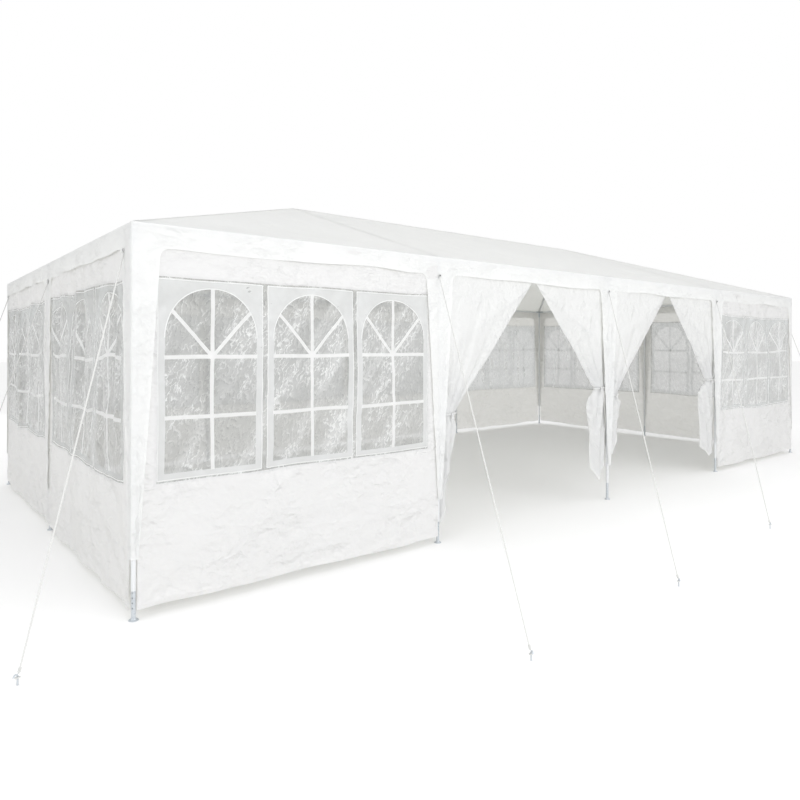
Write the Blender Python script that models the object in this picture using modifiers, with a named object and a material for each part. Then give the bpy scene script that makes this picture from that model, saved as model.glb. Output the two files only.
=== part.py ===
# Party marquee, 4 by 8 m: a steel tube frame under a hipped tarpaulin cover, with
# window walls, two doorways with tied-back curtains, and a guy rope at every leg.
# Metres, +Z up. The origin is on the ground under the middle of the tent, and the
# doors face -Y.

import math

import bmesh
import bpy
from mathutils import Vector

# Plan: bays of the frame, between leg centres
BAY = 2.0
LONG_BAYS = 4
SHORT_BAYS = 2
HALF_LENGTH = BAY * LONG_BAYS / 2
HALF_WIDTH = BAY * SHORT_BAYS / 2

# Frame tubes
RAIL_HEIGHT = 1.94
RIDGE_HEIGHT = 2.605
TUBE_RADIUS = 0.0125
TUBE_SIDES = 12
LOWER_TUBE_RADIUS = 0.011
LOWER_TUBE_TOP = 0.145
FOOT_RADIUS = 0.024
FOOT_THICKNESS = 0.004
RAFTER_SETBACK = 0.008

# Clearance between pieces that touch
GAP = 0.0003

# Sheets, from the tubes outwards: window film, wall, valance, with the roof cover on top
FILM_THICKNESS = 0.001
WALL_THICKNESS = 0.002
COVER_THICKNESS = 0.002
FILM_IN = TUBE_RADIUS + GAP
WALL_IN = FILM_IN + FILM_THICKNESS + GAP
WALL_OUT = WALL_IN + WALL_THICKNESS
VALANCE_IN = WALL_OUT + GAP
VALANCE_OUT = VALANCE_IN + COVER_THICKNESS

# Roof slope, the same on all four sides
RIDGE_HALF_LENGTH = HALF_LENGTH - HALF_WIDTH
SLOPE = math.atan2(RIDGE_HEIGHT - RAIL_HEIGHT, HALF_WIDTH)
COVER_LIFT = (TUBE_RADIUS + GAP) / math.cos(SLOPE)

# Valance and leg bands
VALANCE_TOP = RAIL_HEIGHT + COVER_LIFT - VALANCE_OUT * math.tan(SLOPE) - GAP
VALANCE_BOTTOM = 1.83
BAND_BOTTOM = 0.30
BAND_TOP_HALF_WIDTH = 0.14
BAND_BOTTOM_HALF_WIDTH = 0.018

# Walls
WALL_BOTTOM = 0.05
WALL_TOP = RAIL_HEIGHT

# Printed church windows, three to a bay
WINDOWS_PER_BAY = 3
WINDOW_PITCH = 0.605
WINDOW_CLEAR_WIDTH = 0.50
WINDOW_SILL = 0.698
WINDOW_SPRINGING = 1.287
WINDOW_CROWN = 1.637
ARCH_STEPS = 12
FILM_WIDTH = 1.79
FILM_BOTTOM = 0.655
FILM_TOP = 1.69

# Door curtains: the tie's height, the width of the bundle and the height of its tip
CURTAIN_TOP = RAIL_HEIGHT - TUBE_RADIUS - GAP
CURTAIN_IN = 0.025
CURTAIN_NECK = 0.13
BUNDLE_DEPTH = 0.045
BUNDLE_OVERLAP = 0.06
CURTAINS = {
    "left_door_left_curtain": {"leg": -BAY, "side": 1, "tie": 0.93, "bundle": 0.20, "tip": 0.04},
    "left_door_right_curtain": {"leg": 0.0, "side": -1, "tie": 1.02, "bundle": 0.31, "tip": 0.21},
    "right_door_left_curtain": {"leg": 0.0, "side": 1, "tie": 0.97, "bundle": 0.18, "tip": 0.38},
    "right_door_right_curtain": {"leg": BAY, "side": -1, "tie": 1.02, "bundle": 0.34, "tip": 0.19},
}

# Guy ropes: where each leaves the cover, and how far out and along its peg stands
ROPE_RADIUS = 0.003
ROPE_SIDES = 8
EYELET_HEIGHT = 1.82
CORNER_EYELET_INSET = 0.10
PEG_RADIUS = 0.004
PEG_HEIGHT = 0.045
ROPE_HOLD_HEIGHT = 0.03
CORNER_ROPE_OUT = (0.54, 0.34)
END_ROPE_OUT = 0.60
SIDE_ROPE_OFFSETS = {-BAY: (-0.80, 1.48), 0.0: (-1.49, 1.44), BAY: (-1.87, 1.28)}

# Fineness of the round pieces
SHARP_ANGLE = 40
KNUCKLE_RINGS = 8
BUNDLE_SIDES = 16
BUNDLE_RINGS = 10
WELD_DISTANCE = 0.00001

# Colours and finishes
FINISHES = {
    "steel": {"colour": (0.78, 0.79, 0.80, 1.0), "roughness": 0.35, "metallic": 0.6},
    "tarpaulin": {"colour": (0.90, 0.90, 0.89, 1.0), "roughness": 0.55, "metallic": 0.0},
    "film": {"colour": (0.55, 0.58, 0.58, 1.0), "roughness": 0.12, "metallic": 0.0},
    "rope": {"colour": (0.85, 0.85, 0.83, 1.0), "roughness": 0.85, "metallic": 0.0},
}


def clear_scene():
    for leftover in list(bpy.data.objects):
        bpy.data.objects.remove(leftover, do_unlink=True)


def make_collection(name):
    collection = bpy.data.collections.new(name)
    bpy.context.scene.collection.children.link(collection)
    return collection


def move_to(collection, item):
    for owner in list(item.users_collection):
        owner.objects.unlink(item)
    collection.objects.link(item)


def finish_as(item, name, finish):
    # Each piece carries a material of its own
    item.name = name
    item.data.name = name
    settings = FINISHES[finish]
    material = bpy.data.materials.new(name + "_" + finish)
    material.use_nodes = True
    shader = material.node_tree.nodes["Principled BSDF"]
    shader.inputs["Base Color"].default_value = settings["colour"]
    shader.inputs["Roughness"].default_value = settings["roughness"]
    shader.inputs["Metallic"].default_value = settings["metallic"]
    item.data.materials.clear()
    item.data.materials.append(material)
    move_to(parts, item)
    return item


def as_cutter(item, name):
    item.name = name
    item.hide_render = True
    item.display_type = "WIRE"
    move_to(cutters, item)
    return item


def make_tube(start, end, radius, sides=TUBE_SIDES):
    # A straight round bar between two points
    start = Vector(start)
    end = Vector(end)
    bpy.ops.mesh.primitive_cylinder_add(vertices=sides, radius=radius, depth=(end - start).length)
    tube = bpy.context.active_object
    tube.location = (start + end) / 2
    tube.rotation_mode = "QUATERNION"
    tube.rotation_quaternion = (end - start).to_track_quat("Z", "Y")
    shade_round(tube)
    return tube


def shade_round(item):
    item.data.shade_smooth()
    item.data.set_sharp_from_angle(angle=math.radians(SHARP_ANGLE))


def add_boolean(item, operand, operation):
    modifier = item.modifiers.new(operation.lower() + "_" + operand.name, "BOOLEAN")
    modifier.operation = operation
    modifier.object = operand
    modifier.solver = "EXACT"


def make_panel(outline, holes, thickness):
    # A flat sheet from a 2D outline with holes, in local X and Y, centred on local Z = 0
    curve = bpy.data.curves.new("panel", "CURVE")
    curve.dimensions = "2D"
    curve.fill_mode = "BOTH"
    curve.extrude = thickness / 2
    for loop in [outline] + holes:
        spline = curve.splines.new("POLY")
        spline.points.add(len(loop) - 1)
        for point, (across, up) in zip(spline.points, loop):
            point.co = (across, up, 0.0, 1.0)
        spline.use_cyclic_u = True
    panel = bpy.data.objects.new("panel", curve)
    parts.objects.link(panel)
    return panel


def stand_along_x(panel, middle):
    # Local X runs along +X and local Y up, with the sheet's middle at Y = middle
    panel.location = (0.0, middle, 0.0)
    panel.rotation_euler = (math.radians(90), 0.0, 0.0)


def stand_along_y(panel, middle):
    # Local X runs along +Y and local Y up, with the sheet's middle at X = middle
    panel.location = (middle, 0.0, 0.0)
    panel.rotation_euler = (math.radians(90), 0.0, math.radians(90))


def leg_positions():
    # Names and places of the twelve legs
    places = {}
    for index in range(LONG_BAYS + 1):
        across = -HALF_LENGTH + index * BAY
        places["leg_front_%d" % (index + 1)] = (across, -HALF_WIDTH)
        places["leg_back_%d" % (index + 1)] = (across, HALF_WIDTH)
    places["leg_left"] = (-HALF_LENGTH, 0.0)
    places["leg_right"] = (HALF_LENGTH, 0.0)
    return places


def make_legs():
    # One turned leg: the tube, the thinner telescopic lower tube and the round foot
    top = RAIL_HEIGHT - TUBE_RADIUS - GAP
    profile = [
        (0.0, top),
        (TUBE_RADIUS, top),
        (TUBE_RADIUS, LOWER_TUBE_TOP),
        (LOWER_TUBE_RADIUS, LOWER_TUBE_TOP),
        (LOWER_TUBE_RADIUS, FOOT_THICKNESS),
        (FOOT_RADIUS, FOOT_THICKNESS),
        (FOOT_RADIUS, 0.0),
        (0.0, 0.0),
    ]
    for name, (across, depth) in leg_positions().items():
        mesh = bpy.data.meshes.new(name)
        shape = bmesh.new()
        points = [shape.verts.new((out, 0.0, height)) for out, height in profile]
        for first, second in zip(points, points[1:]):
            shape.edges.new((first, second))
        shape.to_mesh(mesh)
        shape.free()
        leg = bpy.data.objects.new(name, mesh)
        parts.objects.link(leg)
        screw = leg.modifiers.new("turned", "SCREW")
        screw.steps = TUBE_SIDES
        screw.render_steps = TUBE_SIDES
        screw.use_merge_vertices = True
        screw.merge_threshold = 0.0001
        screw.use_smooth_shade = True
        leg.location = (across, depth, 0.0)
        finish_as(leg, name, "steel")


def make_eave_rails():
    # Long rails run through to the corner legs, and the end rails stop against them
    end = HALF_WIDTH - TUBE_RADIUS - GAP
    for name, depth in (("eave_rail_front", -HALF_WIDTH), ("eave_rail_back", HALF_WIDTH)):
        left = (-HALF_LENGTH, depth, RAIL_HEIGHT)
        right = (HALF_LENGTH, depth, RAIL_HEIGHT)
        finish_as(make_tube(left, right, TUBE_RADIUS), name, "steel")
    for name, across in (("eave_rail_left", -HALF_LENGTH), ("eave_rail_right", HALF_LENGTH)):
        front = (across, -end, RAIL_HEIGHT)
        back = (across, end, RAIL_HEIGHT)
        finish_as(make_tube(front, back, TUBE_RADIUS), name, "steel")


def make_rail_cutters():
    # Slightly larger rails, which notch the rafter ends so that they sit on the real rails
    reach = HALF_LENGTH + BAY
    radius = (TUBE_RADIUS + GAP) / math.cos(math.pi / TUBE_SIDES)
    rails = []
    for depth in (-HALF_WIDTH, HALF_WIDTH):
        cutter = make_tube((-reach, depth, RAIL_HEIGHT), (reach, depth, RAIL_HEIGHT), radius)
        rails.append(as_cutter(cutter, "rail_cutter_long_%d" % (len(rails) + 1)))
    for across in (-HALF_LENGTH, HALF_LENGTH):
        cutter = make_tube((across, -reach, RAIL_HEIGHT), (across, reach, RAIL_HEIGHT), radius)
        rails.append(as_cutter(cutter, "rail_cutter_short_%d" % (len(rails) + 1)))
    return rails


def make_star(name, apex, feet, rails):
    # Tubes that run from one apex down to the eave rails, as one welded piece
    apex = Vector(apex)
    bpy.ops.mesh.primitive_uv_sphere_add(segments=TUBE_SIDES, ring_count=KNUCKLE_RINGS)
    knuckle = bpy.context.active_object
    knuckle.scale = (TUBE_RADIUS, TUBE_RADIUS, TUBE_RADIUS)
    knuckle.location = apex
    shade_round(knuckle)
    for index, (across, depth) in enumerate(feet):
        foot = Vector((across, depth, RAIL_HEIGHT))
        end = foot + (apex - foot).normalized() * RAFTER_SETBACK
        arm = as_cutter(make_tube(apex, end, TUBE_RADIUS), "%s_arm_%d" % (name, index + 1))
        add_boolean(knuckle, arm, "UNION")
    for rail in rails:
        add_boolean(knuckle, rail, "DIFFERENCE")
    finish_as(knuckle, name, "steel")


def make_roof_frame():
    # A hip end at each side, the centre rafters, and between them the two halves of the ridge
    rails = make_rail_cutters()
    for name, side in (("roof_frame_left", -1), ("roof_frame_right", 1)):
        across = side * RIDGE_HALF_LENGTH
        outer = side * HALF_LENGTH
        feet = [(outer, -HALF_WIDTH), (outer, HALF_WIDTH), (outer, 0.0)]
        feet += [(across, -HALF_WIDTH), (across, HALF_WIDTH)]
        make_star(name, (across, 0.0, RIDGE_HEIGHT), feet, rails)
    feet = [(0.0, -HALF_WIDTH), (0.0, HALF_WIDTH)]
    make_star("centre_rafters", (0.0, 0.0, RIDGE_HEIGHT), feet, rails)
    inner = TUBE_RADIUS + GAP
    outer = RIDGE_HALF_LENGTH - TUBE_RADIUS - GAP
    for name, side in (("ridge_tube_left", -1), ("ridge_tube_right", 1)):
        start = (side * inner, 0.0, RIDGE_HEIGHT)
        end = (side * outer, 0.0, RIDGE_HEIGHT)
        finish_as(make_tube(start, end, TUBE_RADIUS), name, "steel")


def make_roof_cover():
    # Four flat panels that meet along the hips and the ridge, each half a gap short of the seam
    run = HALF_WIDTH + VALANCE_OUT
    eave = -run / math.cos(SLOPE)
    seam = GAP / math.sqrt(2)
    side_eave = RIDGE_HALF_LENGTH + run - seam
    side_top = RIDGE_HALF_LENGTH + GAP / 2 - seam
    side_ridge = -GAP / 2 / math.cos(SLOPE)
    long_side = [(-side_eave, eave), (side_eave, eave), (side_top, side_ridge), (-side_top, side_ridge)]
    end_eave = run - seam
    hip_end = [(-end_eave, eave), (end_eave, eave), (0.0, -seam / math.cos(SLOPE))]
    lift = COVER_THICKNESS / 2 * math.cos(SLOPE)
    spread = COVER_THICKNESS / 2 * math.sin(SLOPE)
    top = RIDGE_HEIGHT + COVER_LIFT + lift
    across = RIDGE_HALF_LENGTH + spread
    panels = {
        "roof_cover_front": (long_side, (0.0, -spread, top), 0),
        "roof_cover_right": (hip_end, (across, 0.0, top), 90),
        "roof_cover_back": (long_side, (0.0, spread, top), 180),
        "roof_cover_left": (hip_end, (-across, 0.0, top), 270),
    }
    for name, (outline, place, heading) in panels.items():
        panel = make_panel(outline, [], COVER_THICKNESS)
        panel.location = place
        panel.rotation_euler = (SLOPE, 0.0, math.radians(heading))
        finish_as(panel, name, "tarpaulin")


def valance_outline(half_span, legs):
    # The strip below the eave with a tapered band down each leg, as one outline
    corner = half_span
    outline = [(-corner, VALANCE_TOP), (-corner, BAND_BOTTOM)]
    outline.append((-corner + BAND_BOTTOM_HALF_WIDTH, BAND_BOTTOM))
    outline.append((-corner + BAND_TOP_HALF_WIDTH, VALANCE_BOTTOM))
    for leg in legs:
        outline.append((leg - BAND_TOP_HALF_WIDTH, VALANCE_BOTTOM))
        outline.append((leg - BAND_BOTTOM_HALF_WIDTH, BAND_BOTTOM))
        outline.append((leg + BAND_BOTTOM_HALF_WIDTH, BAND_BOTTOM))
        outline.append((leg + BAND_TOP_HALF_WIDTH, VALANCE_BOTTOM))
    outline.append((corner - BAND_TOP_HALF_WIDTH, VALANCE_BOTTOM))
    outline.append((corner - BAND_BOTTOM_HALF_WIDTH, BAND_BOTTOM))
    outline.append((corner, BAND_BOTTOM))
    outline.append((corner, VALANCE_TOP))
    return outline


def make_valances():
    middle = (VALANCE_IN + VALANCE_OUT) / 2
    long_legs = [-HALF_LENGTH + index * BAY for index in range(1, LONG_BAYS)]
    long_outline = valance_outline(HALF_LENGTH + VALANCE_OUT, long_legs)
    for name, side in (("front_valance", -1), ("back_valance", 1)):
        panel = make_panel(long_outline, [], COVER_THICKNESS)
        stand_along_x(panel, side * (HALF_WIDTH + middle))
        finish_as(panel, name, "tarpaulin")
    end_outline = valance_outline(HALF_WIDTH + WALL_OUT, [0.0])
    for name, side in (("left_valance", -1), ("right_valance", 1)):
        panel = make_panel(end_outline, [], COVER_THICKNESS)
        stand_along_y(panel, side * (HALF_LENGTH + middle))
        finish_as(panel, name, "tarpaulin")


def rectangle(left, right, bottom, top):
    return [(left, bottom), (right, bottom), (right, top), (left, top)]


def window_outline(middle):
    # A church window's clear opening: straight jambs under an arch
    half = WINDOW_CLEAR_WIDTH / 2
    rise = WINDOW_CROWN - WINDOW_SPRINGING
    outline = [(middle - half, WINDOW_SILL), (middle + half, WINDOW_SILL)]
    for step in range(ARCH_STEPS + 1):
        angle = math.pi * step / ARCH_STEPS
        outline.append((middle + half * math.cos(angle), WINDOW_SPRINGING + rise * math.sin(angle)))
    return outline


def windows_of(bays):
    # The openings of the printed windows, for the bays whose middles are given
    first = -(WINDOWS_PER_BAY - 1) / 2
    return [
        window_outline(bay + (first + index) * WINDOW_PITCH)
        for bay in bays
        for index in range(WINDOWS_PER_BAY)
    ]


def bay_middles(half_span, count):
    return [-half_span + (index + 0.5) * BAY for index in range(count)]


def make_wall(name, left, right, bays, stand, side_offset):
    # One wall with its windows cut out, and the film strip that closes them from inside
    wall_middle = (WALL_IN + WALL_OUT) / 2
    film_middle = FILM_IN + FILM_THICKNESS / 2
    outward = math.copysign(1.0, side_offset)
    wall = make_panel(rectangle(left, right, WALL_BOTTOM, WALL_TOP), windows_of(bays), WALL_THICKNESS)
    stand(wall, side_offset + outward * wall_middle)
    finish_as(wall, name + "_wall", "tarpaulin")
    film_left = bays[0] - FILM_WIDTH / 2
    film_right = bays[-1] + FILM_WIDTH / 2
    film = make_panel(rectangle(film_left, film_right, FILM_BOTTOM, FILM_TOP), [], FILM_THICKNESS)
    stand(film, side_offset + outward * film_middle)
    finish_as(film, name + "_windows", "film")


def make_walls():
    # The walls stop beside the corner legs, so that the legs show between them
    long_half = HALF_LENGTH - TUBE_RADIUS - GAP
    short_half = HALF_WIDTH - TUBE_RADIUS - GAP
    door_edge = BAY - TUBE_RADIUS + GAP
    long_bays = bay_middles(HALF_LENGTH, LONG_BAYS)
    short_bays = bay_middles(HALF_WIDTH, SHORT_BAYS)
    make_wall("front_left", -long_half, -door_edge, long_bays[:1], stand_along_x, -HALF_WIDTH)
    make_wall("front_right", door_edge, long_half, long_bays[-1:], stand_along_x, -HALF_WIDTH)
    make_wall("back", -long_half, long_half, long_bays, stand_along_x, HALF_WIDTH)
    make_wall("left", -short_half, short_half, short_bays, stand_along_y, -HALF_LENGTH)
    make_wall("right", -short_half, short_half, short_bays, stand_along_y, HALF_LENGTH)


def make_curtains():
    # Half a doorway each: hung from the eave rail, drawn to the leg by a tie, with the
    # loose end hanging as a bundle below it
    front = -HALF_WIDTH - WALL_OUT
    back = -HALF_WIDTH + CURTAIN_IN
    leg_side = TUBE_RADIUS + GAP
    for name, curtain in CURTAINS.items():
        tie = curtain["tie"]
        upper = [
            (leg_side, CURTAIN_TOP),
            (leg_side, tie),
            (CURTAIN_NECK, tie),
            (BAY / 2 - GAP, CURTAIN_TOP),
        ]
        outline = [(curtain["leg"] + curtain["side"] * across, up) for across, up in upper]
        panel = make_panel(outline, [], back - front)
        stand_along_x(panel, (front + back) / 2)
        bpy.context.view_layer.update()
        drawn = panel.evaluated_get(bpy.context.evaluated_depsgraph_get())
        sheet_mesh = bpy.data.meshes.new_from_object(drawn)
        shape = bmesh.new()
        shape.from_mesh(sheet_mesh)
        bmesh.ops.remove_doubles(shape, verts=shape.verts, dist=WELD_DISTANCE)
        bmesh.ops.recalc_face_normals(shape, faces=shape.faces)
        shape.to_mesh(sheet_mesh)
        shape.free()
        sheet = bpy.data.objects.new(name, sheet_mesh)
        parts.objects.link(sheet)
        sheet.matrix_world = panel.matrix_world.copy()
        bpy.data.objects.remove(panel, do_unlink=True)
        half_width = (curtain["bundle"] - leg_side) / 2
        half_height = (tie + BUNDLE_OVERLAP - curtain["tip"]) / 2
        across = curtain["leg"] + curtain["side"] * (leg_side + half_width)
        bpy.ops.mesh.primitive_uv_sphere_add(segments=BUNDLE_SIDES, ring_count=BUNDLE_RINGS, radius=1.0)
        bundle = bpy.context.active_object
        bundle.scale = (half_width, BUNDLE_DEPTH, half_height)
        bundle.location = (across, front + BUNDLE_DEPTH, curtain["tip"] + half_height)
        add_boolean(sheet, as_cutter(bundle, name + "_bundle"), "UNION")
        finish_as(sheet, name, "tarpaulin")


def make_rope(name, eyelet, outward, peg):
    # A taut rope from the face of the cover down to a peg, with the peg as one piece with it
    hold = Vector((peg[0], peg[1], ROPE_HOLD_HEIGHT))
    direction = (hold - Vector(eyelet)).normalized()
    lean = direction.dot(outward)
    clear = (GAP + ROPE_RADIUS * math.sqrt(1.0 - lean * lean)) / lean
    start = Vector(eyelet) + direction * clear
    rope = make_tube(start, hold, ROPE_RADIUS, ROPE_SIDES)
    pin = make_tube((peg[0], peg[1], 0.0), (peg[0], peg[1], PEG_HEIGHT), PEG_RADIUS, ROPE_SIDES)
    add_boolean(rope, as_cutter(pin, name + "_peg"), "UNION")
    finish_as(rope, name, "rope")


def make_ropes():
    # The back is the front turned half a turn about the tent's middle
    face_out = HALF_WIDTH + VALANCE_OUT
    end_out = HALF_LENGTH + VALANCE_OUT
    corner_depth = HALF_WIDTH - CORNER_EYELET_INSET
    count = LONG_BAYS + 1
    for front in (True, False):
        turn = 1.0 if front else -1.0
        row = "front" if front else "back"
        for index in range(1, count - 1):
            leg = (-HALF_LENGTH + index * BAY) * turn
            along, out = SIDE_ROPE_OFFSETS[leg * turn]
            eyelet = (leg, -face_out * turn, EYELET_HEIGHT)
            peg = (leg + along * turn, (-HALF_WIDTH - out) * turn)
            number = index + 1 if front else count - index
            make_rope("guy_rope_%s_%d" % (row, number), eyelet, Vector((0.0, -turn, 0.0)), peg)
        for side, number in ((-1, 1), (1, count)):
            eyelet = (side * end_out, -corner_depth * turn, EYELET_HEIGHT)
            peg = (side * (HALF_LENGTH + CORNER_ROPE_OUT[0]), -(HALF_WIDTH + CORNER_ROPE_OUT[1]) * turn)
            make_rope("guy_rope_%s_%d" % (row, number), eyelet, Vector((side, 0.0, 0.0)), peg)
    for name, side in (("guy_rope_left", -1), ("guy_rope_right", 1)):
        eyelet = (side * end_out, 0.0, EYELET_HEIGHT)
        peg = (side * (HALF_LENGTH + END_ROPE_OUT), 0.0)
        make_rope(name, eyelet, Vector((side, 0.0, 0.0)), peg)


clear_scene()
parts = make_collection("marquee_tent")
cutters = make_collection("cutters")
make_legs()
make_eave_rails()
make_roof_frame()
make_roof_cover()
make_valances()
make_walls()
make_curtains()
make_ropes()
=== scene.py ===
import math

import bmesh
import bpy
import numpy as np
from mathutils import Matrix, Vector, geometry


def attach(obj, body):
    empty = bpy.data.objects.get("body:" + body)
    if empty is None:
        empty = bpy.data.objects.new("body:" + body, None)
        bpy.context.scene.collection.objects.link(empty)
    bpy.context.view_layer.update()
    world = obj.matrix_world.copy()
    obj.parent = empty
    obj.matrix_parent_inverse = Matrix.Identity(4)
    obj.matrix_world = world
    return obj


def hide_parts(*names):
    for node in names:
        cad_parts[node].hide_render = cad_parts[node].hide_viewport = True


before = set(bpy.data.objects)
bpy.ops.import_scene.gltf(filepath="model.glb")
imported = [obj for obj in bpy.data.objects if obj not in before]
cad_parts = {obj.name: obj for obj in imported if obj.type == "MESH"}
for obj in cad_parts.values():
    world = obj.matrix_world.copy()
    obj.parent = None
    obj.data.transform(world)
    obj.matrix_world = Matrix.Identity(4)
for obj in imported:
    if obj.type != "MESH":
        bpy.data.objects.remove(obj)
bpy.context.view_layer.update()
print("marquee: packed frame loaded")

# The tent's own sizes in metres, as its frame has them
tent = {
    "halfLength": 4.0,
    "halfWidth": 2.0,
    "bay": 2.0,
    "railHeight": 1.94,
    "ridgeHeight": 2.605,
    "ridgeHalf": 2.0,
    "tubeRadius": 0.0125,
    "tubeGap": 0.0128,  # from a tube's axis to the end of what meets it
}
rise = (tent["ridgeHeight"] - tent["railHeight"]) / tent["halfWidth"]

# Each side as it is seen from outside: along runs to the right, out points away from the tent
sides = {
    "front": {"along": (1, 0, 0), "out": (0, -1, 0), "depth": 2.0, "half": 4.0},
    "right": {"along": (0, 1, 0), "out": (1, 0, 0), "depth": 4.0, "half": 2.0},
    "back": {"along": (-1, 0, 0), "out": (0, 1, 0), "depth": 2.0, "half": 4.0},
    "left": {"along": (0, -1, 0), "out": (-1, 0, 0), "depth": 4.0, "half": 2.0},
}


def newObject(name, data):
    thing = bpy.data.objects.new(name, data)
    bpy.context.scene.collection.objects.link(thing)
    return thing


# Camera, at the height of a standing person, off the near left corner
view = {
    "place": (-4.9552, -5.2747, 1.3378),
    "turn": 0.6757,
    "tilt": 0.003,
    "focalLength": 28.98,
    "sensorWidth": 36.0,
    "shiftUp": -0.069,
    "farthest": 200.0,
}
cameraData = bpy.data.cameras.new("photo_camera")
cameraData.lens = view["focalLength"]
cameraData.sensor_width = view["sensorWidth"]
cameraData.shift_y = view["shiftUp"]
cameraData.clip_end = view["farthest"]
camera = newObject("photo_camera", cameraData)
camera.location = view["place"]
camera.rotation_euler = (math.pi / 2 + view["tilt"], 0.0, -view["turn"])
bpy.context.scene.camera = camera


# Material helpers

def toLinear(hexColour):
    # sRGB hex to the linear colour that nodes take
    channels = [int(hexColour[index:index + 2], 16) / 255 for index in (1, 3, 5)]
    linear = [c / 12.92 if c <= 0.04045 else ((c + 0.055) / 1.055) ** 2.4 for c in channels]
    return (*linear, 1.0)


def addNode(tree, kind, settings=None, links=None):
    # A shader node with its own settings, its inputs' values (colours in hex) and what is plugged into it
    node = tree.nodes.new("ShaderNode" + kind)
    for name, value in (settings or {}).items():
        if isinstance(name, int) or name in node.inputs:
            node.inputs[name].default_value = toLinear(value) if isinstance(value, str) else value
        else:
            setattr(node, name, value)
    for name, source in (links or {}).items():
        # A whole node stands for its first output
        output = source.outputs[0] if isinstance(source, bpy.types.Node) else source
        tree.links.new(output, node.inputs[name])
    return node


def newMaterial(name):
    material = bpy.data.materials.new(name)
    material.use_nodes = True
    material.node_tree.nodes.clear()
    return material, material.node_tree


def clothBump(tree, flat, crinkle):
    # Crumples of stiff coated cloth: slanting facets that meet in soft creases
    fine, fold, strength = crinkle["fine"], crinkle["fold"], crinkle["strength"]
    aimed = addNode(tree, "Mapping", {"Scale": crinkle["stretch"]}, {"Vector": flat})
    bend = addNode(tree, "TexNoise", {"Scale": 1.3 / fold, "Detail": 3.0, "Roughness": 0.6},
                   {"Vector": aimed})
    shift = addNode(tree, "VectorMath", {"operation": "MULTIPLY_ADD", 1: (0.9 * fold, 0.9 * fold, 0.0)},
                    {0: bend.outputs["Color"], 2: aimed})
    broad = addNode(tree, "TexVoronoi", {"Scale": 1 / fold}, {"Vector": shift})
    small = addNode(tree, "TexVoronoi", {"Scale": 1 / fine}, {"Vector": shift})
    ridges = addNode(tree, "TexNoise", {"noise_type": "RIDGED_MULTIFRACTAL", "Scale": 0.8 / fold,
                                        "Detail": 2.0, "Roughness": 0.5, "Lacunarity": 2.1, "Offset": 0.9,
                                        "Gain": 1.2}, {"Vector": shift})
    dents = addNode(tree, "TexNoise", {"Scale": 1.6 / fold, "Detail": 2.0}, {"Vector": flat})
    height = broad
    for relief, share in ((small, fine / fold), (ridges, 0.3), (dents, 0.8)):
        height = addNode(tree, "Math", {"operation": "MULTIPLY_ADD", 1: share}, {0: relief, 2: height})
    # Calm stretches lie between lively ones
    calm = addNode(tree, "TexNoise", {"Scale": 2.6, "Detail": 3.0}, {"Vector": flat})
    lively = addNode(tree, "MapRange",
                     {"From Min": 0.36, "From Max": 0.6, "To Min": 0.3 * strength, "To Max": strength,
                      "interpolation_type": "SMOOTHSTEP"}, {"Value": calm})
    large = addNode(tree, "Bump", {"Distance": 0.17 * fold}, {"Height": height, "Strength": lively})
    # The tapes are 2.5 mm wide in the real cloth, and drawn at 5 mm so that they show
    bandsPerMetre = 3.14  # of a wave texture at a scale of 1
    tapes = []
    for way in ("X", "Y"):
        wave = addNode(tree, "TexWave", {"bands_direction": way, "Scale": 1 / 0.005 / bandsPerMetre},
                       {"Vector": flat})
        tapes.append(wave.outputs["Fac"])
    weave = addNode(tree, "Math", {"operation": "MAXIMUM"}, {0: tapes[0], 1: tapes[1]})
    return addNode(tree, "Bump", {"Strength": 0.12, "Distance": 0.0004}, {"Height": weave, "Normal": large})


def makeTarpaulin(name, colours, through, letThrough, crinkle):
    # Polyethylene tarpaulin: woven tapes with a thin coating, satin, and it glows when lit from behind
    material, tree = newMaterial(name)
    flat = addNode(tree, "UVMap", {"uv_map": "cloth"})
    bump = clothBump(tree, flat, crinkle)
    cloud = addNode(tree, "TexNoise", {"Scale": 2.2, "Detail": 3.0}, {"Vector": flat})
    tone = addNode(tree, "Mix", {"data_type": "RGBA", 6: colours[0], 7: colours[1]}, {0: cloud}).outputs[2]
    polish = addNode(tree, "MapRange", {"To Min": 0.28, "To Max": 0.42}, {"Value": cloud})
    face = addNode(tree, "BsdfPrincipled", {"IOR": 1.5},
                   {"Base Color": tone, "Roughness": polish, "Normal": bump})
    glow = addNode(tree, "BsdfTranslucent", {"Color": through}, {"Normal": bump})
    mixed = addNode(tree, "MixShader", {0: letThrough}, {1: face, 2: glow})
    addNode(tree, "OutputMaterial", {}, {"Surface": mixed})
    return material


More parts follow.
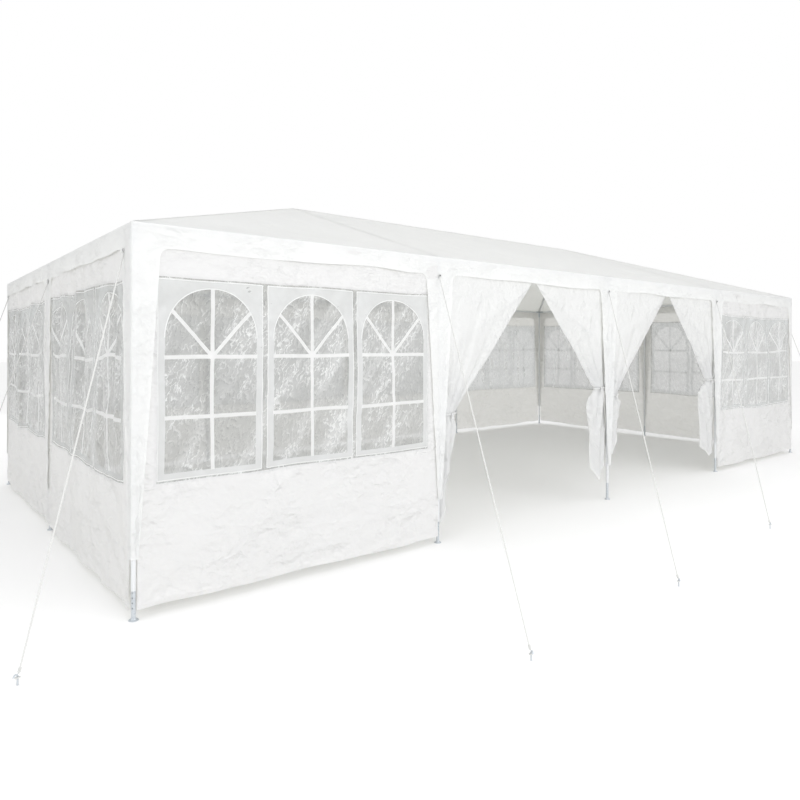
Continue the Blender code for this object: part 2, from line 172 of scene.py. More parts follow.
def makeFilm(name, haze, creased, hollowShade):
    # Clear soft PVC film gone milky: crumpled into small facets and creases that are whitened as painted
    # highlights, with painted shade beside them and long pale streaks of painted sheen
    material, tree = newMaterial(name)
    flat = addNode(tree, "UVMap", {"uv_map": "cloth"})
    warp = addNode(tree, "TexNoise", {"Scale": 19.0, "Detail": 4.0, "Roughness": 0.7}, {"Vector": flat})
    warped = addNode(tree, "VectorMath", {"operation": "MULTIPLY_ADD", 1: (0.06, 0.06, 0.0)},
                     {0: warp.outputs["Color"], 2: flat})
    bend = addNode(tree, "TexNoise", {"Scale": 22.0, "Detail": 3.0}, {"Vector": flat})
    bent = addNode(tree, "VectorMath", {"operation": "MULTIPLY_ADD", 1: (0.05, 0.05, 0.0)},
                   {0: bend.outputs["Color"], 2: flat})
    # Every mark leans to the right by some degrees, and is longer that way
    leaning = {}
    for mark, place, turn, stretch in (("facets", warped, -28, (0.7, 1.9, 1.0)),
                                       ("strokes", bent, -24, (0.6, 1.7, 1.0)),
                                       ("patches", flat, -33, (0.55, 1.6, 1.0)),
                                       ("streaks", warped, -33, (0.16, 1.3, 1.0))):
        settings = {"vector_type": "TEXTURE", "Rotation": (0.0, 0.0, math.radians(turn)), "Scale": stretch}
        leaning[mark] = addNode(tree, "Mapping", settings, {"Vector": place})
    # Facets of about 45 mm and 18 mm, each whitened by its own painted highlight
    tones = []
    for cells, start, most in ((21.0, 0.5, 0.16), (52.0, 0.6, 0.22)):
        facet = addNode(tree, "TexVoronoi", {"Scale": cells}, {"Vector": leaning["facets"]})
        tones.append(addNode(tree, "MapRange", {"From Min": start, "From Max": 1.0, "To Max": most},
                             {"Value": facet.outputs["Color"]}))
    facets = addNode(tree, "Math", {"operation": "ADD"}, {0: tones[0], 1: tones[1]})
    ridges = addNode(tree, "TexNoise",
                     {"noise_type": "RIDGED_MULTIFRACTAL", "Scale": 15.0, "Detail": 4.0, "Roughness": 0.55,
                      "Lacunarity": 2.2, "Offset": 0.9, "Gain": 1.5}, {"Vector": leaning["facets"]})
    lines = addNode(tree, "MapRange", {"From Min": 1.3, "From Max": 1.95, "To Max": 0.75}, {"Value": ridges})
    # Short bright strokes of painted highlight, each with painted shade in a hollow just beside it
    on = leaning["strokes"]
    beside = addNode(tree, "VectorMath", {"operation": "ADD", 1: (0.004, 0.006, 0.0)}, {0: on})
    strokes = []
    for place, most in ((on, 0.34), (beside, 0.28 * hollowShade)):
        worn = addNode(tree, "TexNoise",
                       {"noise_type": "RIDGED_MULTIFRACTAL", "Scale": 25.0, "Detail": 2.5, "Roughness": 0.75,
                        "Lacunarity": 2.4, "Offset": 0.9, "Gain": 1.5}, {"Vector": place})
        strokes.append(addNode(tree, "MapRange", {"From Min": 1.0, "From Max": 1.7, "To Max": most},
                               {"Value": worn}))
    shine = addNode(tree, "Math", {"operation": "SUBTRACT"}, {0: strokes[0], 1: strokes[1]})
    shade = addNode(tree, "MapRange", {"From Min": -0.5, "From Max": 0.1}, {"Value": shine})
    # Painted highlight and painted shade: the film's colour runs from dark grey in the hollows to white on
    # the strokes
    tone = addNode(tree, "Mix", {"data_type": "RGBA", 6: "#8E9193", 7: "#F0F1F1"}, {0: shade}).outputs[2]
    relief = strokes[0]
    for mark in (strokes[1], lines, facets):
        relief = addNode(tree, "Math", {"operation": "ADD"}, {0: relief, 1: mark})
    # The creases come in patches, where their marks whiten the film as painted highlights, on a haze that is
    # cloudy in the same places
    patches = addNode(tree, "TexNoise", {"Scale": 3.6, "Detail": 3.0}, {"Vector": leaning["patches"]})
    crumpled = addNode(tree, "MapRange",
                       {"From Min": 0.43, "From Max": 0.6, "To Min": 0.1 * creased, "To Max": creased,
                        "interpolation_type": "SMOOTHSTEP"}, {"Value": patches})
    creaseHighlights = addNode(tree, "Math", {"operation": "MULTIPLY"}, {0: relief, 1: crumpled})
    cloud = addNode(tree, "MapRange",
                    {"From Min": 0.3, "From Max": 0.7, "To Min": haze, "To Max": haze + 0.13},
                    {"Value": patches})
    # Long streaks of painted sheen lie over them
    streaks = addNode(tree, "TexNoise", {"Scale": 1.0, "Detail": 5.0, "Roughness": 0.62},
                      {"Vector": leaning["streaks"]})
    band = addNode(tree, "MapRange", {"From Min": 0.52, "From Max": 0.66, "To Max": 0.26,
                                      "interpolation_type": "SMOOTHSTEP"}, {"Value": streaks})
    edge = addNode(tree, "Fresnel", {"IOR": 1.45})
    body = creaseHighlights
    for more in (cloud, band, edge):
        body = addNode(tree, "Math", {"operation": "ADD", "use_clamp": more is edge}, {0: body, 1: more})
    bump = addNode(tree, "Bump", {"Strength": 0.7, "Distance": 0.004}, {"Height": relief})
    face = addNode(tree, "BsdfPrincipled", {"Roughness": 0.16, "IOR": 1.5},
                   {"Base Color": tone, "Normal": bump})
    glow = addNode(tree, "BsdfTranslucent", {}, {"Color": tone})
    milky = addNode(tree, "MixShader", {0: 0.42}, {1: face, 2: glow})
    clear = addNode(tree, "BsdfTransparent", {"Color": "#D2D2D1"})
    mixed = addNode(tree, "MixShader", {}, {0: body, 1: clear, 2: milky})
    addNode(tree, "OutputMaterial", {}, {"Surface": mixed})
    return material


def makePrint(name, colours, opacity):
    # White ink printed on the film: flat, a little uneven, and thin enough to let some light by
    material, tree = newMaterial(name)
    flat = addNode(tree, "UVMap", {"uv_map": "cloth"})
    cloud = addNode(tree, "TexNoise", {"Scale": 14.0, "Detail": 3.0}, {"Vector": flat})
    tone = addNode(tree, "Mix", {"data_type": "RGBA", 6: colours[0], 7: colours[1]}, {0: cloud}).outputs[2]
    ridges = addNode(tree, "TexNoise", {"noise_type": "RIDGED_MULTIFRACTAL", "Scale": 9.0, "Detail": 4.0},
                     {"Vector": flat})
    bump = addNode(tree, "Bump", {"Strength": 0.25, "Distance": 0.003}, {"Height": ridges})
    face = addNode(tree, "BsdfPrincipled", {"Roughness": 0.3, "IOR": 1.5},
                   {"Base Color": tone, "Normal": bump})
    glow = addNode(tree, "BsdfTranslucent", {"Color": colours[0]})
    solid = addNode(tree, "MixShader", {0: 0.42}, {1: face, 2: glow})
    clear = addNode(tree, "BsdfTransparent", {"Color": "#F6F7F7"})
    thin = addNode(tree, "MixShader", {0: opacity}, {1: clear, 2: solid})
    addNode(tree, "OutputMaterial", {}, {"Surface": thin})
    return material


def makePaintedSteel(name):
    # White powder-coated tube: orange peel under a semi-gloss film of paint, with faint scuffs
    material, tree = newMaterial(name)
    place = addNode(tree, "TexCoord").outputs["Object"]
    peel = addNode(tree, "TexNoise", {"Scale": 900.0, "Detail": 2.0}, {"Vector": place})
    scuff = addNode(tree, "TexNoise", {"Scale": 38.0, "Detail": 6.0, "Roughness": 0.7}, {"Vector": place})
    marks = addNode(tree, "MapRange", {"From Min": 0.55, "From Max": 0.8}, {"Value": scuff})
    tone = addNode(tree, "Mix", {"data_type": "RGBA", 6: "#DCDEE0", 7: "#C8CBCE"}, {0: marks}).outputs[2]
    polish = addNode(tree, "MapRange", {"To Min": 0.28, "To Max": 0.45}, {"Value": marks})
    bump = addNode(tree, "Bump", {"Strength": 0.1, "Distance": 0.0003}, {"Height": peel})
    face = addNode(tree, "BsdfPrincipled", {"IOR": 1.5},
                   {"Base Color": tone, "Roughness": polish, "Normal": bump})
    addNode(tree, "OutputMaterial", {}, {"Surface": face})
    return material


def makePlatedMetal(name, colours):
    # Bright plating with a cloudy spangle, and fine drawing lines along the tube
    material, tree = newMaterial(name)
    place = addNode(tree, "TexCoord").outputs["Object"]
    spangle = addNode(tree, "TexVoronoi", {"Scale": 160.0}, {"Vector": place}).outputs["Color"]
    drawn = addNode(tree, "Mapping", {"Scale": (900.0, 900.0, 14.0)}, {"Vector": place})
    lines = addNode(tree, "TexNoise", {"Scale": 1.0, "Detail": 3.0}, {"Vector": drawn})
    tone = addNode(tree, "Mix", {"data_type": "RGBA", 6: colours[0], 7: colours[1]}, {0: spangle}).outputs[2]
    polish = addNode(tree, "MapRange", {"To Min": 0.26, "To Max": 0.5}, {"Value": lines})
    bump = addNode(tree, "Bump", {"Strength": 0.15, "Distance": 0.0002}, {"Height": lines})
    face = addNode(tree, "BsdfPrincipled", {"Metallic": 0.35},
                   {"Base Color": tone, "Roughness": polish, "Normal": bump})
    addNode(tree, "OutputMaterial", {}, {"Surface": face})
    return material


def makeRopeFibre(name):
    # White twisted polypropylene cord: matt, hairy fibres that run along the strands
    material, tree = newMaterial(name)
    place = addNode(tree, "TexCoord").outputs["Object"]
    fibres = addNode(tree, "TexNoise", {"Scale": 700.0, "Detail": 4.0}, {"Vector": place})
    tone = addNode(tree, "Mix", {"data_type": "RGBA", 6: "#C6C7C5", 7: "#E0E1DF"}, {0: fibres}).outputs[2]
    bump = addNode(tree, "Bump", {"Strength": 0.4, "Distance": 0.0005}, {"Height": fibres})
    face = addNode(tree, "BsdfPrincipled", {"Roughness": 0.8, "IOR": 1.49},
                   {"Base Color": tone, "Normal": bump})
    addNode(tree, "OutputMaterial", {}, {"Surface": face})
    return material


def makeDustedMatt(name, colours, speckle, settings):
    # A plain matt surface with fine dust or a faint cloud on it
    material, tree = newMaterial(name)
    place = addNode(tree, "TexCoord").outputs["Object"]
    dust = addNode(tree, "TexNoise", speckle, {"Vector": place})
    tone = addNode(tree, "Mix", {"data_type": "RGBA", 6: colours[0], 7: colours[1]}, {0: dust}).outputs[2]
    face = addNode(tree, "BsdfPrincipled", settings, {"Base Color": tone})
    addNode(tree, "OutputMaterial", {}, {"Surface": face})
    return material


# Crinkles of the cloth: fine and broad folds in metres, how strong they are, and how they are squashed
roofCrinkle = {"fine": 0.2, "fold": 0.5, "strength": 0.2, "stretch": (1.0, 1.0, 1.0)}
valanceCrinkle = {"fine": 0.06, "fold": 0.17, "strength": 0.6, "stretch": (0.7, 1.3, 1.0)}
wallCrinkle = {"fine": 0.045, "fold": 0.13, "strength": 0.8, "stretch": (0.8, 1.2, 1.0)}
curtainCrinkle = {"fine": 0.05, "fold": 0.13, "strength": 0.7, "stretch": (1.3, 0.8, 1.0)}
roofTarpaulin = makeTarpaulin("roof_tarpaulin", ("#F1F2F4", "#F6F7F9"), "#DFDFD6", 0.36, roofCrinkle)
valanceTarpaulin = makeTarpaulin("valance_tarpaulin", ("#F1F2F4", "#F6F7F9"), "#DFDFD6", 0.36, valanceCrinkle)
wallTarpaulin = makeTarpaulin("wall_tarpaulin", ("#EAEAED", "#F1F1F4"), "#E8E7E0", 0.42, wallCrinkle)
curtainTarpaulin = makeTarpaulin("curtain_tarpaulin", ("#E7E8EA", "#EFF0F2"), "#E8E7E0", 0.38, curtainCrinkle)
# How milky each film is, how much its creases show as painted highlights, and how dark the painted shade in
# the hollows beside them is
films = {
    "front_left": makeFilm("clear_window_film", 0.3, 1.0, 1.0),
    "left": makeFilm("clear_end_film", 0.24, 1.15, 1.2),
    # The front right film is milkier than the rest: its extra milkiness is painted sheen for the brighter
    # look of film seen at a grazing angle
    "front_right": makeFilm("milky_sheen_window_film", 0.48, 1.0, 0.5),
    "right": makeFilm("soft_window_film", 0.36, 0.3, 0.0),
}
films["back"] = films["right"]
# Solid ink of the bars and thinner ink of the frames round them, fainter on the far walls
whiteInk = makePrint("white_window_ink", ("#F8F8F8", "#F1F2F2"), 0.9)
cloudyInk = makePrint("thin_window_ink", ("#F5F6F6", "#EEEFF0"), 0.7)
paleInk = makePrint("pale_window_ink", ("#F8F8F8", "#F1F2F2"), 0.55)
faintInk = makePrint("faint_window_ink", ("#F5F6F6", "#EEEFF0"), 0.36)
inks = {
    "front_left": (whiteInk, cloudyInk),
    "left": (whiteInk, faintInk),
    "front_right": (whiteInk, faintInk),
    "right": (paleInk, faintInk),
    "back": (paleInk, faintInk),
}
paintedSteel = makePaintedSteel("powder_coated_steel")
zincSteel = makePlatedMetal("zinc_plated_steel", ("#B7BDC3", "#CCD1D5"))
nickelPlate = makePlatedMetal("nickel_plated_brass", ("#B9BABA", "#D3D4D4"))
ropeFibre = makeRopeFibre("twisted_polypropylene")
# Painted shade: a dark matt for the discs that stand in the eyelet holes
eyeletPaintedShade = makeDustedMatt("eyelet_painted_shade", ("#3B3C3D", "#565758"), {"Scale": 300.0}, {"Roughness": 0.85})
print("marquee: materials made")


# Shape helpers

def ripple(x, y, size, seed, waves=7):
    # Wandering relief between about -1 and 1, with swells of the given size in metres
    chance = np.random.default_rng(seed)
    total = np.zeros(np.shape(x))
    for _ in range(waves):
        turn = chance.uniform(0.0, 2 * math.pi)
        pitch = size * chance.uniform(0.7, 1.7)
        phase = chance.uniform(0.0, 2 * math.pi)
        total += np.sin((x * math.cos(turn) + y * math.sin(turn)) * 2 * math.pi / pitch + phase)
    return total / math.sqrt(waves)


def crease(x, y, size, seed):
    # The same relief with sharp fold lines in it
    return 0.5 - np.abs(ripple(x, y, size, seed))


def ramp(value):
    # 0 to 1 with soft ends
    held = np.clip(value, 0.0, 1.0)
    return held * held * (3 - 2 * held)


def steps(start, end, size):
    # Even steps of about the given size
    count = max(1, round(abs(end - start) / size))
    return [start + (end - start) * index / count for index in range(count + 1)]


def joined(*runs):
    # Several runs of steps as one, without their shared ends twice
    values = []
    for run in runs:
        for value in run:
            if not values or abs(value - values[-1]) > 1e-6:
                values.append(value)
    return values


def placeOn(side, along, out, up):
    # From a side's own measures to the tent's
    facts = sides[side]
    across = np.outer(along, facts["along"])
    outward = np.outer(facts["depth"] + np.asarray(out), facts["out"])
    upward = np.outer(up, (0, 0, 1))
    return across + outward + upward


def newPiece(name, mesh, materials, stands=()):
    piece = newObject(name, mesh)
    for material in materials:
        piece.data.materials.append(material)
    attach(piece, "root")
    if stands:
        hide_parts(*stands)
    return piece


def meshFrom(name, shape, angle=None):
    mesh = bpy.data.meshes.new(name)
    shape.to_mesh(mesh)
    shape.free()
    mesh.shade_smooth()
    if angle is not None:
        mesh.set_sharp_from_angle(angle=math.radians(angle))
    return mesh


def finalMesh(thing, *helpers):
    # An object's mesh once its modifiers or its bevel have shaped it. The objects go
    drawn = bpy.data.meshes.new_from_object(thing.evaluated_get(bpy.context.evaluated_depsgraph_get()))
    for item in (thing, *helpers):
        bpy.data.objects.remove(item, do_unlink=True)
    return drawn


def moveFlat(mesh, place):
    # The flat pattern becomes the cloth's UV map, and each point moves to where it hangs
    count = len(mesh.vertices)
    flat = np.zeros(count * 3)
    mesh.vertices.foreach_get("co", flat)
    flat = flat.reshape(-1, 3)
    corners = np.zeros(len(mesh.loops), int)
    mesh.loops.foreach_get("vertex_index", corners)
    layer = mesh.uv_layers.new(name="cloth")
    layer.data.foreach_set("uv", flat[corners, :2].ravel())
    mesh.vertices.foreach_set("co", np.asarray(place(flat[:, 0], flat[:, 1], flat[:, 2])).ravel())
    mesh.update()


def addPatch(shape, across, up, leaveOut=None, layer=0.0):
    # A flat grid with lines at the given measures, less the faces that the pattern leaves out
    grid = bmesh.ops.create_grid(shape, x_segments=len(across) - 1, y_segments=len(up) - 1, size=0.5)
    for vertex in grid["verts"]:
        column = round((vertex.co.x + 0.5) * (len(across) - 1))
        row = round((vertex.co.y + 0.5) * (len(up) - 1))
        vertex.co = (across[column], up[row], layer)
    if leaveOut:
        faces = {face for vertex in grid["verts"] for face in vertex.link_faces}
        unwanted = [face for face in faces if leaveOut(*face.calc_center_median().xy)]
        bmesh.ops.delete(shape, geom=unwanted, context="FACES")
    return grid["verts"]


def addStrip(shape, start, end, cell, across):
    # A straight strip between two points of the flat pattern, with its lines so far from its middle
    start, end = Vector(start), Vector(end)
    reach = end - start
    square = Vector((-reach.y, reach.x)).normalized()
    for vertex in addPatch(shape, steps(0.0, 1.0, cell / reach.length), across):
        spot = start + reach * vertex.co.x + square * vertex.co.y
        vertex.co = (spot.x, spot.y, 0.0)


def makeCloth(name, across, up, place, leaveOut=None):
    shape = bmesh.new()
    addPatch(shape, across, up, leaveOut)
    mesh = meshFrom(name, shape)
    moveFlat(mesh, place)
    return mesh


def addTube(shape, start, end, radius, segments):
    start, end = Vector(start), Vector(end)
    turn = (end - start).to_track_quat("Z", "Y").to_matrix().to_4x4()
    place = Matrix.Translation((start + end) / 2) @ turn
    bmesh.ops.create_cone(shape, cap_ends=True, segments=segments, radius1=radius, radius2=radius,
                          depth=(end - start).length, matrix=place)


def addRing(shape, middle, axis, ringRadius, wireRadius, segments):
    # A round wire bent to a ring about an axis
    axis = Vector(axis).normalized()
    outward = axis.orthogonal().normalized()
    start = Vector(middle) + outward * ringRadius
    place = Matrix.Translation(start) @ outward.cross(axis).to_track_quat("Z", "Y").to_matrix().to_4x4()
    circle = bmesh.ops.create_circle(shape, segments=8, radius=wireRadius, matrix=place)
    edges = {edge for vertex in circle["verts"] for edge in vertex.link_edges}
    bmesh.ops.spin(shape, geom=circle["verts"] + list(edges), cent=middle, axis=axis, angle=2 * math.pi,
                   steps=segments, use_merge=True)


def addSpun(shape, profile, segments, closed=False):
    # A turned shape from its profile of (radius, height), about the upright axis
    points = [shape.verts.new((out, 0.0, up)) for out, up in profile]
    nextPoints = points[1:] + points[:1] if closed else points[1:]
    edges = [shape.edges.new(pair) for pair in zip(points, nextPoints)]
    bmesh.ops.spin(shape, geom=points + edges, cent=(0, 0, 0), axis=(0, 0, 1), angle=2 * math.pi,
                   steps=segments, use_merge=True)


# Roof cover: one sheet over the hips and the ridge, folded down over the eave tubes
roof = {
    "cell": 0.026,
    "foldCell": 0.0047,
    "foldRadius": 0.012,
    "reach": 0.0192,
    "topLift": 0.0156,
    "softness": 0.012,
    "sag": 0.034,
    "carried": {"rafter": 0.42, "hip": 0.34, "eave": 0.4, "ridge": 0.5},  # how far each holds the cloth up
    "calm": 0.12,  # the creases fade as near as this to a tube
    "creaseDepth": 0.0022,
    "creaseSize": 0.9,
    "pullDepth": 0.0035,  # of the pulls that fan out from the corners
    "pulls": 9,
    "pullReach": 0.55,
}


def roofPoint(p, q, _):
    fold = roof["foldRadius"]
    flatX = tent["halfLength"] + roof["reach"] - fold
    flatY = tent["halfWidth"] + roof["reach"] - fold
    overX = np.maximum(np.abs(p) - flatX, 0.0)
    overY = np.maximum(np.abs(q) - flatY, 0.0)
    over = np.hypot(overX, overY)
    turn = np.minimum(over / fold, math.pi / 2)
    share = np.where(over > 1e-9, fold * np.sin(turn) / np.maximum(over, 1e-9), 1.0)
    x = np.sign(p) * (np.minimum(np.abs(p), flatX) + overX * share)
    y = np.sign(q) * (np.minimum(np.abs(q), flatY) + overY * share)
    # The slopes meet in a soft ridge and soft hips
    soft = roof["softness"]
    depth = np.sqrt(y * y + soft * soft)
    endDepth = np.abs(x) - tent["ridgeHalf"]
    run = (depth + endDepth + np.sqrt((depth - endDepth) ** 2 + soft * soft)) / 2
    height = tent["ridgeHeight"] + roof["topLift"] - rise * (run - soft / 2)
    # Between its tubes the cloth hangs a little
    toEnd, toSide = tent["halfLength"] - np.abs(x), tent["halfWidth"] - np.abs(y)
    onEnd = endDepth > np.abs(y)
    towardsEnd = ramp((endDepth - np.abs(y)) / 0.02)
    rafter = np.minimum(np.abs(x), np.abs(np.abs(x) - tent["ridgeHalf"]))
    rafter = rafter * (1 - towardsEnd) + np.abs(y) * towardsEnd
    hip = np.abs(np.abs(y) - endDepth) / math.sqrt(2)
    away = {"rafter": rafter, "hip": np.where(endDepth > -0.4, hip, 1.0),
            "eave": np.where(onEnd, toEnd, toSide), "ridge": np.where(onEnd, 1.0, np.abs(y))}
    bowl = np.ones(np.shape(p))
    for tube, distance in away.items():
        bowl *= 1 - np.exp(-(np.maximum(distance, 0.0) / roof["carried"][tube]) ** 2)
    nearest = np.minimum(np.maximum(away["eave"], 0.0), np.minimum(rafter, hip))
    free = 1 - np.exp(-(nearest / roof["calm"]) ** 2)
    pulls = np.sin(roof["pulls"] * np.arctan2(toSide, toEnd + 1e-6) + ripple(x, y, 1.4, 5))
    pulls = pulls * np.exp(-np.hypot(toEnd, toSide) / roof["pullReach"])
    creases = roof["creaseDepth"] * crease(x, y, roof["creaseSize"], 11)
    height = height - roof["sag"] * bowl + free * (roof["pullDepth"] * pulls + creases)
    height = height - fold * (1 - np.cos(turn))
    return np.stack([x, y, height], axis=1)


def roofLines(half):
    # The flat pattern's lines along one way, close together where it folds down over the eaves
    flatHalf = half + roof["reach"] - roof["foldRadius"]
    folds = steps(0.0, roof["foldRadius"] * math.pi / 2, roof["foldCell"])[1:]
    low, high = [-flatHalf - step for step in reversed(folds)], [flatHalf + step for step in folds]
    return low + steps(-flatHalf, flatHalf, roof["cell"]) + high


roofMesh = makeCloth("roof_sheet", roofLines(tent["halfLength"]), roofLines(tent["halfWidth"]), roofPoint)
roofSheet = newPiece("roof_sheet", roofMesh, [roofTarpaulin],
                     ("roof_cover_front", "roof_cover_back", "roof_cover_left", "roof_cover_right"))


# Welded seams of the cover, laid over its hips, its ridge and its rafters
seams = {"halfWidth": 0.018, "inset": 0.01, "lift": 0.0012, "cell": 0.03, "crossCell": 0.006}


def makeSeams():
    ridge = tent["ridgeHalf"]
    endX, endY = tent["halfLength"] - seams["inset"], tent["halfWidth"] - seams["inset"]
    lines = []
    for turn in (-1, 1):
        lines += [((turn * ridge, 0.0), (turn * endX, side * endY)) for side in (-1, 1)]
        lines.append(((turn * ridge, -endY), (turn * ridge, endY)))
    lines.append(((-ridge, 0.0), (ridge, 0.0)))
    shape = bmesh.new()
    across = steps(-seams["halfWidth"], seams["halfWidth"], seams["crossCell"])
    for start, end in lines:
        addStrip(shape, start, end, seams["cell"], across)
    mesh = meshFrom("roof_seams", shape)
    moveFlat(mesh, lambda p, q, _: roofPoint(p, q, _) + np.array((0.0, 0.0, seams["lift"])))
    newPiece("roof_seams", mesh, [roofTarpaulin])


makeSeams()
print("marquee: roof cover made")


# Valances with their leg bands, cut from one strip a side
valance = {
    "top": 1.9475,
    "bottom": 1.83,
    "out": 0.0192,
    "bandBottom": 0.30,
    "bandTopHalf": 0.122,
    "bandBottomHalf": 0.018,
    "fillet": 0.045,
    "filletArea": 0.0004,
    "cornerRadius": 0.013,
    "hem": 0.018,
    "hemLift": 0.0012,
    "bandHem": 0.012,
    "bandHemLift": 0.0009,
    "bandLift": 0.0035,  # how far a band stands off its leg
    "sway": 0.007,
    "swaySize": 0.5,
    "creaseDepth": 0.004,
    "hemWave": 0.006,
    "stripCell": (0.025, 0.0117),
    "bandCell": (0.012, 0.018),
}


def bandHalf(up):
    # Half a leg band's width at a height, with the round inner corners at its top
    down = (valance["bottom"] - up) / (valance["bottom"] - valance["bandBottom"])
    narrowing = valance["bandBottomHalf"] - valance["bandTopHalf"]
    half = valance["bandTopHalf"] + narrowing * np.clip(down, 0.0, 1.0)
    below = np.clip(valance["bottom"] - up, 0.0, valance["fillet"])
    rounding = valance["fillet"] - np.sqrt(valance["fillet"] ** 2 - (valance["fillet"] - below) ** 2)
    return half + rounding


def makeValance(side, seed):
    half = sides[side]["half"]
    legs = [-half + tent["bay"] * index for index in range(round(half / tent["bay"] * 2) + 1)]
    wide = float(bandHalf(valance["bottom"]))
    bend = valance["cornerRadius"]
    corner = half + valance["out"] - bend
    end = corner + bend * math.pi / 4
    runs = []
    for leg in legs:
        low = -end if leg == legs[0] else leg - wide
        high = end if leg == legs[-1] else leg + wide
        if runs:
            runs.append(steps(runs[-1][-1], low, valance["stripCell"][0]))
        runs.append(steps(low, high, valance["bandCell"][0]))
    across = joined(*runs)
    bottom, fillet, hemTop = valance["bottom"], valance["fillet"], valance["bottom"] + valance["hem"]
    roundUp = [bottom - fillet * (1 - math.cos(angle)) for angle in steps(0, math.pi / 2, 0.26)]
    bandUp = joined(steps(valance["bandBottom"], bottom - fillet, valance["bandCell"][1]), roundUp[::-1])
    stripUp = joined([bottom, hemTop], steps(hemTop + 0.002, valance["top"], valance["stripCell"][1]))
    places = np.array(legs)

    def between(along, _):
        return min(abs(along - leg) for leg in legs) > wide

    def hang(along, height, _):
        nearest = places[np.argmin(np.abs(along[:, None] - places[None, :]), axis=1)]
        away = along - nearest
        below = height < bottom - 1e-6
        inner = np.abs(nearest + away) < half
        narrowed = nearest + away * np.where(below & inner, bandHalf(height) / wide, 1.0)
        # Round the tent's corner, as far as the next side's strip
        turn = np.clip((np.abs(narrowed) - corner) / bend, 0.0, math.pi / 4)
        s = np.sign(narrowed) * (np.minimum(np.abs(narrowed), corner) + bend * np.sin(turn))
        out = valance["out"] - bend * (1 - np.cos(turn))
        # Loose between the legs, creased all along, and held flat at the corners
        fromTop, fromLeg = valance["top"] - height, np.abs(away)
        fromCorner = ramp((half - np.abs(s)) / 0.12)
        loose = ramp((fromLeg - 0.1) / 0.25) * ramp(fromTop / 0.1)
        sway = valance["sway"] + valance["sway"] * ripple(s, height * 2, valance["swaySize"], seed)
        out = out + fromCorner * loose * sway
        creases = valance["creaseDepth"] * crease(s, height * 3.0, valance["swaySize"], seed + 1)
        out = out + fromCorner * creases * ramp(fromTop / 0.03)
        standing = ramp((1.8 - height) / 0.2) * ramp((fromLeg - 0.012) / 0.03)
        out = out + valance["bandLift"] * standing * fromCorner
        edge = np.where(fromLeg > wide, height - bottom, 1.0)
        bandEdge = np.where(below & inner, bandHalf(height) - np.abs(s - nearest), 1.0)
        out = out + valance["hemLift"] * (edge < valance["hem"])
        out = out + valance["bandHemLift"] * (bandEdge < valance["bandHem"])
        wave = valance["hemWave"] * ripple(s, s * 0, 0.6, seed + 2) * loose
        return placeOn(side, s, out, height + wave)

    stripMesh = makeCloth(side + "_valance_strip", across, stripUp, hang)
    strip = newPiece(side + "_valance_strip", stripMesh, [valanceTarpaulin],
                     (side + "_valance",))
    bandMesh = makeCloth(side + "_leg_bands", across, bandUp, hang, between)
    bands = newPiece(side + "_leg_bands", bandMesh, [valanceTarpaulin])


for index, side in enumerate(sides):
    makeValance(side, 20 + 5 * index)
print("marquee: valances made")


# Window walls. Slack says how loosely a panel hangs
window = {
    "blockBottom": 0.655,
    "blockTop": 1.69,
    "blockHalf": 0.895,
    "pitch": 0.605,
    "outerHalf": 0.2865,
    "clearHalf": 0.25,
    "frameBottom": 0.666,
    "frameTop": 1.679,
    "sill": 0.698,
    "lowerBar": 0.974,
    "upperBar": 1.287,
    "archMiddle": 1.387,
    "archLine": 0.006,
    "barHalf": 0.0105,
    "barOverlap": 0.004,
    "rayHalf": 0.00945,
    "rayAngles": (32.5, 147.5),
    "hub": 0.017,
    "lineHalf": 0.0028,
    "inkCell": 0.02,
    "filmCell": 0.015,
    "filmOverlap": 0.012,
    "lifts": {"film": -0.0016, "frames": -0.0006, "bars": -0.0002},
}
walls = {
    "front_left": {"side": "front", "from": -4.0, "to": -2.0, "slack": 0.12, "seed": 101},
    "front_right": {"side": "front", "from": 2.0, "to": 4.0, "slack": 0.75, "seed": 131},
    "left": {"side": "left", "from": -2.0, "to": 2.0, "slack": 0.95, "seed": 151},
    "right": {"side": "right", "from": -2.0, "to": 2.0, "slack": 0.4, "seed": 171},
    "back": {"side": "back", "from": -4.0, "to": 4.0, "slack": 0.35, "seed": 191},
}
wallSheet = {"bottom": 0.05, "top": 1.94, "out": 0.0155, "lift": 0.0006, "hem": 0.028, "hemLift": 0.0012,
             "hemCell": 0.014, "cell": 0.017, "lip": 0.006, "legGap": 0.0122}
# The cloth's relief: where it is, its kind, depth and size in metres, how it is squashed, and its random draw
wallRelief = (
    ("held", ripple, 0.006, 0.9, (1.0, 1.0), 0),
    ("held", crease, 0.0035, 0.5, (1.0, 1.4), 1),
    ("low", crease, 0.003, 0.22, (0.8, 1.7), 2),
    ("crumpled", crease, 0.0035, 0.19, (1.0, 1.0), 10),
    ("crumpled", crease, 0.0018, 0.1, (1.0, 1.0), 11),
    ("window", crease, 0.0022, 0.24, (1.0, 1.0), 5),
)
# Upright folds of a slack panel: how many a bay has, and what each may measure
wallFolds = {"count": 11, "first": 0.12, "span": 1.76, "depth": 0.024, "widths": (0.028, 0.075),
             "depths": (0.35, 1.0), "leans": (-0.1, 0.1), "reaches": (0.25, 0.6), "middles": (0.7, 1.7)}


def foldsOf(wall, bayIndex, inBay, up):
    # The folds lean this way and that
    facts = walls[wall]
    chance = np.random.default_rng(facts["seed"] + 3)
    folds = np.zeros(np.shape(inBay))
    for bay in range(len(baysOf(wall))):
        for index in range(wallFolds["count"]):
            share = (index + chance.uniform(0.1, 0.9)) / wallFolds["count"]
            centre = wallFolds["first"] + wallFolds["span"] * share
            width = chance.uniform(*wallFolds["widths"])
            depth = chance.uniform(*wallFolds["depths"]) * chance.choice((-1.0, 1.0))
            lean = chance.uniform(*wallFolds["leans"])
            reach = chance.uniform(*wallFolds["reaches"])
            middle = chance.uniform(*wallFolds["middles"])
            off = (inBay - centre - lean * (up - middle)) / width
            folds += (bayIndex == bay) * depth * np.exp(-off * off) * np.exp(-((up - middle) / reach) ** 2)
    return folds


